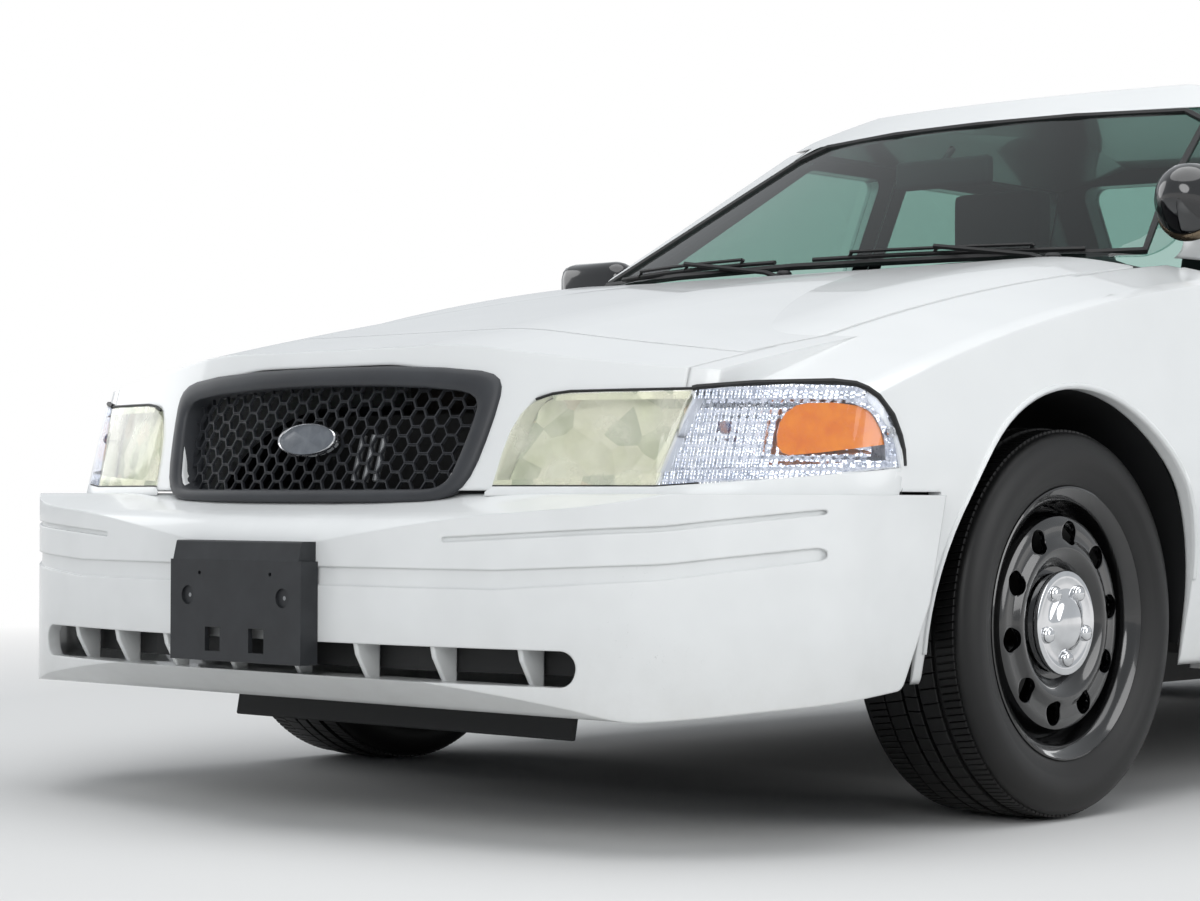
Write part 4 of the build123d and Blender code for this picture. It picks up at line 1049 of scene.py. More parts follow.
@dataclass
class RoadWheel:
    """A steel wheel with round vents and a chromed cap, and its tyre with a cut tread."""

    half_width: float = 0.1225
    tread_half: float = 0.098
    vents: int = 10
    vent_circle: float = 0.157
    vent_radius: float = 0.0215
    pitches: int = 80
    lugs: int = 5
    lug_circle: float = 0.062
    groove_depth: float = 0.0085
    shoulder: float = 0.0785
    rim_half: float = 0.108

    def build(self) -> None:
        """Builds one tyre and one wheel, then copies them to the four corners."""
        tyre = self.make_tyre()
        wheel = self.make_wheel()
        cap = self.make_cap()
        corners = [("front_left", 1, FRONT_WHEEL_X, FRONT_AXLE_Y),
                   ("front_right", -1, FRONT_WHEEL_X, FRONT_AXLE_Y),
                   ("rear_left", 1, REAR_WHEEL_X, REAR_AXLE_Y),
                   ("rear_right", -1, REAR_WHEEL_X, REAR_AXLE_Y)]
        for corner, side, x, y in corners:
            end, hand = corner.split("_")
            place = Matrix.Translation((side * x, y, TYRE_RADIUS)) @ Matrix.Diagonal((side, 1, 1, 1))
            for source, kind, finish, node in ((tyre, "tyre", TYRE_RUBBER, f"tyre_{corner}"),
                                               (wheel, "wheel", BLACK_WHEEL_STEEL, f"wheel_{corner}"),
                                               (cap, "hub_cap", CHROME, None)):
                piece = copy_of(source, f"{kind}_{corner}_detail", place)
                dress(piece, finish)
                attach(piece, f"{end}_wheel_{hand}")
                if node:
                    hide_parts(node)
        for source in (tyre, wheel, cap):
            bpy.data.objects.remove(source)

    def make_tyre(self) -> bpy.types.Object:
        """The carcass with its round grooves, and the blocks of the tread cut across."""
        h, t, r = self.half_width, self.tread_half, TYRE_RADIUS
        side = [(-0.100, 0.232), (-0.108, 0.241), (-0.1115, 0.252), (-0.1165, 0.262), (-0.1175, 0.268),
                (-h, 0.276), (-h, 0.296), (-0.118, 0.312), (-0.112, 0.3225), (-0.1055, 0.3285)]
        floor = r - self.groove_depth
        tread = [(-t, floor)]
        profile = side + tread + [(-x, z) for x, z in reversed(side + tread)]
        profile += [(0.092, 0.2175), (-0.092, 0.2175)]
        carcass = turned("carcass", profile, Axis.X, Vector((0, 0, 0)), 96, closed=True)
        smooth(carcass, 50)
        # place across the tread, width, shift along it in pitches, blocks a pitch
        ribs = [(-self.shoulder, 0.036, 0.0, 2), (-0.0365, 0.034, 0.5, 1), (0.0, 0.026, 0.0, 1),
                (0.0365, 0.034, 0.5, 1), (self.shoulder, 0.036, 0.0, 2)]
        pieces = [carcass]
        pitch = math.tau / self.pitches
        for place, width, shift, cuts in ribs:
            length = r * pitch / cuts - (0.0026 if cuts > 1 else 0.0016)
            skew = 0.005 if place else 0.0
            low, high = place - width / 2, place + width / 2
            top = r - 0.004 * (abs(place) / self.shoulder) ** 2
            foot = floor - 0.002
            stone = plate("block", [(low, -length / 2, foot), (high, -length / 2 + skew, foot),
                                    (high, length / 2 + skew, foot), (low, length / 2, foot)],
                          Vector((0, 0, top - floor + 0.002)))
            bevelled(stone, 0.0010, 1)
            for i in range(self.pitches * cuts):
                turn = Matrix.Rotation(pitch * (i / cuts + shift), 4, "X")
                pieces.append(copy_of(stone, "block", turn))
            bpy.data.objects.remove(stone)
        return joined(pieces, "tyre_master")

    def make_wheel(self) -> bpy.types.Object:
        """The barrel, and the disc with its round vents and raised ring."""
        half = self.rim_half
        barrel = [(-half, 0.2355), (-half + 0.010, 0.2345), (-half + 0.016, 0.221), (-half + 0.020, 0.218),
                  (-0.036, 0.2155), (-0.022, 0.196), (0.026, 0.196), (0.040, 0.2145), (half - 0.024, 0.218),
                  (half - 0.018, 0.221), (half - 0.012, 0.2335), (half - 0.007, 0.2365),
                  (half - 0.001, 0.2360), (half, 0.2330), (half - 0.004, 0.2270), (half - 0.012, 0.2130),
                  (0.086, 0.2090), (0.060, 0.2070), (0.050, 0.2050), (0.036, 0.1880), (-0.024, 0.1880),
                  (-0.040, 0.2060), (-half + 0.010, 0.2090), (-half + 0.002, 0.2270)]
        rim = turned("rim", barrel, Axis.X, Vector((0, 0, 0)), 96, closed=True)
        smooth(rim, 40)
        disc = [(0.066, 0.036), (0.066, 0.098), (0.074, 0.110), (0.086, 0.121), (0.0885, 0.130),
                (0.084, 0.140), (0.081, 0.150), (0.0815, 0.168), (0.080, 0.175), (0.070, 0.180),
                (0.048, 0.186), (0.040, 0.192), (0.040, 0.199), (0.048, 0.2010), (0.054, 0.1960),
                (0.074, 0.1895), (0.0865, 0.184), (0.0905, 0.177), (0.0905, 0.166), (0.0895, 0.153),
                (0.0905, 0.147), (0.0965, 0.139), (0.0985, 0.130), (0.0960, 0.120), (0.0850, 0.106),
                (0.0745, 0.097), (0.0740, 0.036)]
        face = turned("disc", disc, Axis.X, Vector((0, 0, 0)), 80, closed=True)
        for i in range(self.vents):
            deselect()
            angle = math.tau * (i + 0.25) / self.vents
            spot = (0.085, math.sin(angle) * self.vent_circle, math.cos(angle) * self.vent_circle)
            bpy.ops.mesh.primitive_cylinder_add(vertices=28, radius=self.vent_radius, depth=0.12,
                                                location=spot, rotation=(0, math.pi / 2, 0))
            cutter = settle(bpy.context.view_layer.objects.active, "cutter")
            hole = face.modifiers.new("vent", "BOOLEAN")
            hole.object = cutter
            hole.operation = "DIFFERENCE"
            hole.solver = "EXACT"
            apply_modifiers(face)
            bpy.data.objects.remove(cutter)
        bevelled(face, 0.0014, 2, 50)
        smooth(face, 35)
        return joined([rim, face], "wheel_master")

    def make_cap(self) -> bpy.types.Object:
        """The chromed cap: a shallow dish with a domed middle and a boss over each lug nut."""
        dish = [(0.078, 0.085), (0.090, 0.0890), (0.0965, 0.0905), (0.1005, 0.0895), (0.1020, 0.0850),
                (0.1010, 0.0760), (0.1000, 0.0600), (0.1010, 0.0500), (0.1050, 0.0450), (0.1090, 0.0400),
                (0.1115, 0.0280), (0.1120, 0.0)]
        cap = turned("cap", dish, Axis.X, Vector((0, 0, 0)), 72)
        smooth(cap, 50)
        parts = [cap]
        for i in range(self.lugs):
            angle = math.tau * (i + 0.5) / self.lugs
            centre = Vector((0, math.sin(angle) * self.lug_circle, math.cos(angle) * self.lug_circle))
            profile = [(0.098, 0.0150), (0.104, 0.0142), (0.1080, 0.0120), (0.1100, 0.0085), (0.1105, 0.0)]
            boss = turned("boss", profile, Axis.X, centre, 24)
            smooth(boss, 50)
            parts.append(boss)
        return joined(parts, "cap_master")


@dataclass
class FrontLamps:
    """The front lenses laid on the nose skin, what shows through them, and their seals.

    Every outline is a row of (distance round the nose, height) pairs.
    """

    head: tuple[tuple[float, float], ...] = (
        (0.427, 0.571), (0.711, 0.571), (0.742, 0.719), (0.536, 0.717), (0.505, 0.714), (0.483, 0.707),
        (0.465, 0.697), (0.454, 0.685), (0.441, 0.658), (0.433, 0.622))
    turn: tuple[tuple[float, float], ...] = (
        (0.717, 0.571), (0.866, 0.581), (1.012, 0.593), (1.118, 0.603), (1.108, 0.628), (1.094, 0.650),
        (1.071, 0.681), (1.039, 0.709), (1.018, 0.720), (0.998, 0.727), (0.962, 0.730), (0.840, 0.726),
        (0.750, 0.720))
    amber: tuple[tuple[float, float], ...] = (
        (0.914, 0.618), (0.960, 0.622), (1.075, 0.636), (1.060, 0.662), (1.036, 0.687), (1.018, 0.696),
        (0.972, 0.701), (0.930, 0.700), (0.912, 0.696), (0.897, 0.684), (0.890, 0.668), (0.889, 0.650),
        (0.893, 0.632), (0.902, 0.622))
    ledge: tuple[tuple[float, float], ...] = (
        (0.415, 0.553), (1.122, 0.553), (1.122, 0.6005), (1.012, 0.5905), (0.866, 0.5785), (0.711, 0.5685),
        (0.427, 0.5685), (0.415, 0.560))

    def build(self) -> None:
        """Builds the left lamps and mirrors them."""
        head_rim = [((0.425, 0.569), (0.713, 0.569), (0.718, 0.590), (0.425, 0.578)),
                    ((0.744, 0.721), (0.535, 0.719), (0.503, 0.715), (0.508, 0.706), (0.740, 0.706))]
        turn_rim = [((0.715, 0.569), (0.866, 0.579), (1.012, 0.591), (1.120, 0.601), (1.112, 0.613),
                     (0.9, 0.601), (0.722, 0.592)),
                    ((0.746, 0.706), (0.985, 0.706), (1.030, 0.690), (1.050, 0.676), (1.073, 0.683),
                     (1.041, 0.711), (1.019, 0.722), (0.998, 0.729), (0.962, 0.732), (0.840, 0.728),
                     (0.749, 0.722)),
                    ((1.045, 0.680), (1.068, 0.650), (1.080, 0.612), (1.120, 0.601), (1.110, 0.629),
                     (1.096, 0.651), (1.073, 0.683))]
        head_back = [draped("strip", rim, -0.0004, 0.0004) for rim in head_rim]
        head_back.append(draped("strip", self.head, 0.030, 0.002))
        turn_back = [draped("strip", rim, -0.0004, 0.0004) for rim in turn_rim]
        turn_back.append(draped("strip", self.turn, 0.019, 0.002))
        amber = draped("turn_lamp_left_amber", self.amber, 0.003, 0.006, 0.01)
        smooth(amber, 30)
        pieces = [
            (joined(head_back, "headlamp_left_reflector"), FACETED_REFLECTOR, None),
            (joined(turn_back, "turn_lamp_left_reflector"), RIBBED_REFLECTOR, None),
            (amber, AMBER_PLASTIC, None), (self.make_bulb(), DARK_BULB, None),
            (self.make_screw(), CHROME, None), (self.make_seals(), RUBBER_SEAL, None),
            (self.make_ledge(), SCUFFED_ENAMEL, None),
            (self.make_lens("headlamp_left_lens", self.head), HEADLAMP_GLASS, "headlamps"),
            (self.make_lens("turn_lamp_left_lens", self.turn), TURN_GLASS, "turn_lamps")]
        for piece, finish, node in pieces:
            dress(piece, finish)
            twin = mirrored(piece, piece.name.replace("left", "right"))
            for item in (piece, twin):
                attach(item, "body")
            if node:
                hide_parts(node)

    def make_lens(self, name: str, outline: Sequence[tuple[float, float]]) -> bpy.types.Object:
        """One moulded lens with a softened rim.

        Args:
            name: the lens's name.
            outline: its corners, as (distance round the nose, height) pairs.

        Returns:
            The lens.
        """
        lens = draped(name, outline, -0.0040, 0.0030, 0.010)
        bevelled(lens, 0.0010, 2, 50)
        smooth(lens, 40)
        return lens

    def make_ledge(self) -> bpy.types.Object:
        """The strip of bumper cover that reaches up to the lenses."""
        ledge = draped("bumper_ledge_left", self.ledge, -0.0042, 0.0040)
        bevelled(ledge, 0.0012, 2, 50)
        smooth(ledge, 30)
        return ledge

    def make_bulb(self) -> bpy.types.Object:
        """The side lamp's bulb."""
        bulb = [(-0.010, 0.0), (-0.008, 0.006), (-0.003, 0.010), (0.004, 0.011), (0.010, 0.007), (0.012, 0.0)]
        piece = turned("turn_lamp_left_bulb", bulb, Axis.Y, NoseSkin().point(0.803, 0.661, 0.013), 24)
        smooth(piece, 50)
        return piece

    def make_screw(self) -> bpy.types.Object:
        """The screw that holds the lens at its outer end."""
        spot = NoseSkin().point(1.079, 0.656, -0.0035)
        head = [(0.0012, 0.0), (0.0012, 0.0035), (0.0, 0.0040), (0.0, 0.0062), (0.0022, 0.0070),
                (0.0022, 0.0088), (-0.002, 0.0092), (-0.004, 0.0)]
        piece = turned("turn_lamp_left_screw", head, Axis.X, spot, 24)
        smooth(piece, 50)
        return piece

    def make_seals(self) -> bpy.types.Object:
        """The black rubber along the lamps' edges and the dark joints beside them."""
        skin = NoseSkin()
        # chains of (distance round the nose, height), and each rod's radius
        chains = [
            (((0.476, 0.708), (0.505, 0.717), (0.536, 0.7205), (0.640, 0.7215), (0.743, 0.7225)), 0.0024),
            (((0.743, 0.7225), (0.750, 0.7245), (0.840, 0.731), (0.962, 0.7350), (1.000, 0.7315),
              (1.022, 0.7240), (1.044, 0.712), (1.077, 0.683), (1.101, 0.651), (1.115, 0.628),
              (1.124, 0.603)), 0.0048),
            (((0.427, 0.5690), (0.57, 0.5690), (0.711, 0.5690), (0.78, 0.5740)), 0.0020),
            (((1.1245, 0.603), (1.1265, 0.580), (1.1290, 0.557)), 0.0012),
        ]
        rods = [rod("seal", [skin.point(t, z, -0.0018) for t, z in chain], radius, 10)
                for chain, radius in chains]
        return joined(rods, "front_lamp_left_seals")


@dataclass
class Grille:
    """The broad black surround, the honeycomb, the plain oval badge and the horn behind."""

    # distance round the nose and height of the outer edge, then of the opening, from foot to crown
    edges: tuple[tuple[float, float, float, float], ...] = (
        (0.100, 0.5412, 0.100, 0.5631), (0.200, 0.542, 0.195, 0.5633), (0.300, 0.5435, 0.285, 0.5638),
        (0.330, 0.5470, 0.306, 0.5650), (0.350, 0.554, 0.320, 0.5680), (0.368, 0.567, 0.333, 0.575),
        (0.380, 0.585, 0.343, 0.588), (0.389, 0.610, 0.349, 0.608), (0.397, 0.645, 0.356, 0.634),
        (0.404, 0.685, 0.363, 0.664), (0.407, 0.715, 0.367, 0.690), (0.4055, 0.730, 0.366, 0.701),
        (0.399, 0.742, 0.360, 0.711), (0.385, 0.751, 0.348, 0.7185), (0.360, 0.757, 0.325, 0.7240),
        (0.284, 0.764, 0.255, 0.7305), (0.170, 0.769, 0.150, 0.7355), (0.080, 0.770, 0.075, 0.7372))
    foot: tuple[float, float] = (0.541, 0.563)
    crown: tuple[float, float] = (0.7705, 0.738)
    # share of the way from outer edge to opening, and depth behind the skin
    section: tuple[tuple[float, float], ...] = (
        (0.0, 0.010), (0.0, -0.001), (0.08, -0.0050), (0.25, -0.0078), (0.55, -0.0090), (0.85, -0.0075),
        (0.96, -0.0045), (1.0, 0.0), (1.0, 0.044), (0.92, 0.044))
    pitch_x: float = 0.026
    pitch_z: float = 0.030
    web: float = 0.0026
    wall_depth: float = 0.006
    mesh_depth: float = 0.024
    badge_half_width: float = 0.0735
    badge_half_height: float = 0.0285
    badge_height: float = 0.648

    def build(self) -> None:
        """Builds every piece of the grille."""
        surround = self.make_surround()
        dress(surround, SURROUND_POLYPROPYLENE)
        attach(surround, "body")
        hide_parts("grille_surround")
        mesh = self.make_honeycomb()
        dress(mesh, MESH_PLASTIC)
        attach(mesh, "body")
        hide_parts("grille_mesh")
        self.make_badge()
        slats = [rod("slat", [(x, NOSE_Y + 0.203, 0.578), (x + 0.001, NOSE_Y + 0.225, 0.656)], 0.0065, 16)
                 for x in (0.033, 0.060, 0.086)]
        horn = joined(slats, "horn_slats")
        dress(horn, CAST_ALUMINIUM)
        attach(horn, "body")

    def rows(self) -> list[tuple[float, float, float, float]]:
        """The whole way round, from the foot by the left side to the crown and back."""
        foot = (0.0, self.foot[0], 0.0, self.foot[1])
        crown = (0.0, self.crown[0], 0.0, self.crown[1])
        other = [(-t, z, -u, w) for t, z, u, w in reversed(self.edges)]
        return [foot, *self.edges, crown, *other]

    def make_surround(self) -> bpy.types.Object:
        """The convex frame, proud of the nose, with a wall back to the mesh."""
        skin = NoseSkin()
        loops = []
        for share, depth in self.section:
            loops.append([skin.point(t + (u - t) * share, z + (w - z) * share, depth)
                          for t, z, u, w in self.rows()])
        ring = banded("grille_frame", loops)
        smooth(ring, 45)
        return ring

    def inside(self, around: float, height: float) -> bool:
        """Whether a cell's middle is near enough to the opening to show.

        Args:
            around: the middle's distance round the nose.
            height: its height over the ground.

        Returns:
            True if the cell is kept.
        """
        if not self.foot[1] - 0.010 < height < self.crown[1] + 0.010:
            return False
        sides = [(w, u) for _, _, u, w in self.edges if u > 0.30]
        for (low, near), (high, far) in zip(sides, sides[1:]):
            if low <= height <= high:
                return abs(around) < max(near, far) + 0.006
        return abs(around) < 0.325

    def make_honeycomb(self) -> bpy.types.Object:
        """One hexagonal cell with thin walls, copied over the opening."""
        skin = NoseSkin()
        reach = self.pitch_z / math.sqrt(3)
        deselect()
        bpy.ops.mesh.primitive_circle_add(vertices=6, radius=reach - 0.00005, fill_type="NGON",
                                          rotation=(math.pi / 2, math.pi / 6, 0))
        cell = settle(bpy.context.view_layer.objects.active, "cell")
        with editing(cell):
            bpy.ops.mesh.select_all(action="SELECT")
            bpy.ops.mesh.inset(thickness=self.web / 2)
            bpy.ops.mesh.delete(type="FACE")
        wall = cell.modifiers.new("wall", "SOLIDIFY")
        wall.thickness = self.wall_depth
        wall.offset = 0.0
        apply_modifiers(cell)
        cells = []
        for i in range(-15, 16):
            for j in range(-1, 7):
                height = self.foot[1] + 0.014 + (j + (0.5 if i % 2 else 0.0)) * self.pitch_z
                around = i * self.pitch_x
                if not self.inside(around, height):
                    continue
                x, back = skin.flat(around)
                ahead = skin.flat(around + 0.01)
                bow = math.atan2(ahead[1] - back, ahead[0] - x)
                turn = Matrix.Rotation(bow, 4, "Z") @ Matrix.Rotation(-math.atan(skin.lean), 4, "X")
                change = Matrix.Translation(skin.point(around, height, self.mesh_depth)) @ turn
                cells.append(copy_of(cell, "cell", change))
        bpy.data.objects.remove(cell)
        return joined(cells, "grille_honeycomb")

    def make_badge(self) -> None:
        """The oval's rim and field, left bare, on a short stem."""
        centre = NoseSkin().point(0.0, self.badge_height, 0.002)
        rim = [(0.010, 0.90), (0.010, 0.985), (0.003, 1.0), (-0.002, 0.985), (-0.0035, 0.95),
               (-0.002, 0.915), (0.002, 0.90)]
        field = [(0.008, 0.0), (0.008, 0.93), (0.001, 0.93), (0.0, 0.90), (-0.0012, 0.0)]
        lean = math.atan(NoseSkin().lean)
        for name, profile, closed, finish in (("badge_rim", rim, True, CHROME),
                                              ("badge_field", field, False, BADGE_GREY)):
            piece = turned(name, profile, Axis.Y, Vector((0, 0, 0)), 72, closed=closed)
            choose(piece)
            piece.scale = (self.badge_half_width, 1.0, self.badge_half_height)
            settle(piece, name)
            piece.data.transform(Matrix.Translation(centre) @ Matrix.Rotation(-lean, 4, "X"))
            smooth(piece, 40)
            dress(piece, finish)
            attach(piece, "body")
        stem = block("badge_stem", tuple(centre + Vector((-0.012, 0.006, -0.010))),
                     tuple(centre + Vector((0.012, 0.030, 0.010))), 0.002)
        dress(stem, BLACK_POLYPROPYLENE)
        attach(stem, "body")


@dataclass
class ArchLips:
    """The rolled edge of both front wheel arches."""

    nodes: dict
    radius: float = 0.396
    height: float = 0.351
    forward: float = 0.014
    lip: float = 0.006
    # where the lip starts and how far it goes round, in degrees, and its facets
    start: float = -22
    sweep: float = 194
    steps: int = 40

    def build(self) -> None:
        """Rolls the front arches' edges along the fenders."""
        fender = self.nodes["fender_left"]
        middle = FRONT_AXLE_Y - NOSE_Y - self.forward
        points = []
        for i in range(self.steps + 1):
            angle = math.radians(self.start + self.sweep * i / self.steps)
            back = middle - self.radius * math.cos(angle)
            z = self.height + self.radius * math.sin(angle)
            try:
                points.append(left_point(fender, back, z, -0.001))
            except ValueError:
                continue
        edge = rod("front_arch_left_lip", points, self.lip, 10)
        smooth(edge, 60)
        dress(edge, WHITE_ENAMEL)
        twin = mirrored(edge, "front_arch_right_lip")
        for piece in (edge, twin):
            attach(piece, "body")


@dataclass
class PlateBracket:
    """The screws, clips and pips of the bare front plate bracket."""

    face_y: float = -2.706
    proud_y: float = -2.7098
    screw_x: float = 0.119
    screw_height: float = 0.386
    clip_x: float = 0.108
    pip_x: float = 0.089

    def build(self) -> None:
        """Builds the two screws, the two clips at the foot and the two pips above."""
        parts = []
        head = [(0.006, 0.0), (0.006, 0.0062), (0.003, 0.0068), (0.0012, 0.0056), (0.0008, 0.0)]
        for x in (-self.screw_x, self.screw_x):
            parts.append(turned("screw", head, Axis.Y, Vector((x, self.face_y, self.screw_height)), 24))
        screws = joined(parts, "bracket_screws")
        smooth(screws, 40)
        dress(screws, CAST_ALUMINIUM)
        clips = [block("clip", (x - 0.013, self.proud_y, 0.284), (x + 0.013, -2.703, 0.297), 0.002)
                 for x in (-self.clip_x, self.clip_x)]
        clips += [block("pip", (x - 0.004, self.proud_y, 0.4365), (x + 0.004, self.face_y, 0.4405), 0.001)
                  for x in (-self.pip_x, self.pip_x)]
        dots = joined(clips, "bracket_clips")
        dress(dots, GREY_POLYPROPYLENE)
        for piece in (screws, dots):
            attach(piece, "body")


@dataclass
class ScreenGear:
    """The wipers, the windscreen's rubber, the inner mirror and the outer mirrors."""

    nodes: dict
    blade_height: float = 1.0335
    glass_y: float = -0.6640

    def build(self) -> None:
        """Builds every piece that belongs with the glass."""
        self.make_wipers()
        self.make_screen_seal()
        self.make_mirrors()

    def make_wipers(self) -> None:
        """Two blades that lie along the foot of the windscreen, each on a black arm."""
        screen = self.nodes["windscreen"]
        cowl = self.nodes["cowl"]
        for name, pivot_x, pivot_back, inner, outer in (("left", 0.60, 1.495, 0.04, 0.60),
                                                       ("right", -0.02, 1.450, -0.60, -0.06)):
            blade_points = [front_point(screen, inner + (outer - inner) * i / 6, self.blade_height, 0.008)
                            for i in range(7)]
            blade = rod(f"wiper_{name}_blade", blade_points, 0.0050, 10)
            pivot = top_point(cowl, pivot_x, pivot_back, 0.004)
            bridge = rod("bridge", [p + Vector((0, -0.004, 0.011)) for p in blade_points[1:6]], 0.0038, 8)
            clips = [rod("clip", [p + Vector((-0.008, 0, 0)), p + Vector((0.004, -0.004, 0.011))], 0.0035, 8)
                     for p in blade_points[1:6:2]]
            middle = blade_points[3] + Vector((0, -0.008, 0.014))
            arm = rod(f"wiper_{name}_arm", [pivot, pivot + Vector((-0.05, 0.0, 0.016)), middle], 0.0055, 10)
            blade = joined([blade, bridge, *clips], "blade")
            profile = [(-0.006, 0.016), (0.012, 0.016), (0.017, 0.011), (0.018, 0.0)]
            boss = turned(f"wiper_{name}_boss", profile, Axis.Z, pivot, 24)
            piece = joined([blade, arm, boss], f"wiper_{name}")
            smooth(piece, 40)
            dress(piece, BLACK_POLYPROPYLENE)
            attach(piece, "body")

    def make_screen_seal(self) -> None:
        """The black rubber that frames the windscreen."""
        screen = self.nodes["windscreen"]
        edge = [(-0.700, 1.034), (-0.35, 1.027), (0.0, 1.027), (0.35, 1.027), (0.700, 1.034),
                (0.6405, 1.14), (0.590, 1.25), (0.543, 1.352), (0.480, 1.382), (0.24, 1.386), (0.0, 1.386),
                (-0.24, 1.386), (-0.480, 1.382), (-0.543, 1.352), (-0.590, 1.25), (-0.6405, 1.14),
                (-0.700, 1.034)]
        points = [front_point(screen, x, z, 0.001) for x, z in edge]
        frame = rod("windscreen_seal", points, 0.008, 10)
        dress(frame, RUBBER_SEAL)
        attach(frame, "body")

    def make_mirrors(self) -> None:
        """The inner mirror on the screen, and the glass and housings of both outer mirrors."""
        corners = ((0.918, 1.016), (1.092, 1.020), (1.098, 1.096), (0.918, 1.106))
        glass = plate("outer_mirror_left_glass", [(x, self.glass_y, z) for x, z in corners],
                      Vector((0, 0.0015, 0)))
        bevelled(glass, 0.012, 4, 60)
        twin = mirrored(glass, "outer_mirror_right_glass")
        pod = block("pod", (0.903, -0.7505, 0.994), (1.108, -0.6655, 1.123), 0.036)
        stalk = block("stalk", (0.838, -0.742, 0.998), (0.960, -0.700, 1.046), 0.012)
        housing = joined([pod, stalk], "outer_mirror_left_housing")
        smooth(housing, 50)
        other = mirrored(housing, "outer_mirror_right_housing")
        for piece, side, finish in ((glass, "left", REFLECTOR), (twin, "right", REFLECTOR),
                                    (housing, "left", SPOT_GLOSS), (other, "right", SPOT_GLOSS)):
            dress(piece, finish)
            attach(piece, f"front_door_{side}")
            if finish is SPOT_GLOSS:
                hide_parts(f"mirror_{side}")
        shell = block("inner_mirror", (-0.125, -0.700, 1.235), (0.125, -0.672, 1.300), 0.012)
        stalk = rod("inner_mirror_stalk", [(0, -0.690, 1.290), (0, -0.655, 1.325)], 0.008, 12)
        mirror = joined([shell, stalk], "inner_mirror")
        smooth(mirror, 40)
        dress(mirror, CABIN_VINYL)
        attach(mirror, "body")


@dataclass
class SpotLamp:
    """The pillar spotlight: a gloss black shell with its dome ahead, a bronzed rim and a glass face."""

    centre: Point = (0.812, NOSE_Y + 1.640, 1.128)
    tilt: float = -0.42

    def build(self) -> None:
        """Builds the shell, rim, face and arm."""
        shell = [(-0.072, 0.0), (-0.070, 0.012), (-0.062, 0.030), (-0.048, 0.047), (-0.026, 0.061),
                 (-0.004, 0.0700), (0.016, 0.0735), (0.018, 0.0)]
        rim = [(0.012, 0.0745), (0.018, 0.0780), (0.032, 0.0775), (0.038, 0.0730), (0.034, 0.0700),
               (0.014, 0.0705)]
        face = [(0.030, 0.0), (0.030, 0.0705), (0.034, 0.0705), (0.040, 0.042), (0.042, 0.0)]
        place = Matrix.Translation(self.centre) @ Matrix.Rotation(self.tilt, 4, "X")
        for name, profile, closed, finish in (("spotlight_shell", shell, False, SPOT_GLOSS),
                                              ("spotlight_rim", rim, True, BRONZED_RIM),
                                              ("spotlight_face", face, False, REFLECTOR)):
            piece = turned(name, profile, Axis.Y, Vector((0, 0, 0)), 64, closed=closed)
            piece.data.transform(place)
            smooth(piece, 45)
            dress(piece, finish)
            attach(piece, "body")
        arm = rod("spotlight_arm", [(0.800, self.centre[1] + 0.03, self.centre[2] - 0.050),
                                    (0.770, self.centre[1] + 0.10, self.centre[2] - 0.045),
                                    (0.735, self.centre[1] + 0.165, self.centre[2] - 0.030)], 0.012, 16)
        dress(arm, SPOT_GLOSS)
        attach(arm, "body")
        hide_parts("spotlight")


@dataclass
class SideTrim:
    """Door handles and the long rubbing strips, one set for each side."""

    nodes: dict
    strip_height: float = 0.640
    strip_rise: float = 0.052

    def build(self) -> None:
        """Builds the left doors' trim and mirrors it."""
        for end, first, last, handle_back in (("front", 1.675, 2.690, 2.545), ("rear", 2.748, 3.500, 3.380)):
            door = self.nodes[f"door_{end}_left"]
            points = [left_point(door, first + (last - first) * i / 6, self.strip_height, 0.002)
                      for i in range(7)]
            strip = curtain(f"door_{end}_left_strip", points, (-0.003, 0, self.strip_rise), 0.009)
            bevelled(strip, 0.0025, 2, 40)
            dress(strip, WHITE_ENAMEL)
            grip = self.make_handle(door, end, handle_back)
            for piece in (strip, grip):
                twin = mirrored(piece, piece.name.replace("left", "right"))
                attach(piece, f"{end}_door_left")
                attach(twin, f"{end}_door_right")

    def make_handle(self, door: bpy.types.Object, end: str, back: float) -> bpy.types.Object:
        """A pull handle over a dark recess.

        Args:
            door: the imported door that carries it.
            end: front or rear.
            back: its middle's distance behind the nose.

        Returns:
            The handle.
        """
        spot = left_point(door, back, 0.868)
        x = spot.x
        y = spot.y
        cup = block("cup", (x - 0.006, y - 0.075, 0.850), (x + 0.0015, y + 0.075, 0.892), 0.001)
        bar = block("bar", (x + 0.002, y - 0.078, 0.866), (x + 0.018, y + 0.078, 0.886), 0.006)
        feet = [block("foot", (x - 0.004, y + s * 0.070 - 0.006, 0.868),
                      (x + 0.010, y + s * 0.070 + 0.006, 0.884), 0.002) for s in (-1, 1)]
        handle = joined([cup, bar, *feet], f"door_{end}_left_handle")
        smooth(handle, 40)
        dress(handle, BLACK_POLYPROPYLENE)
        return handle


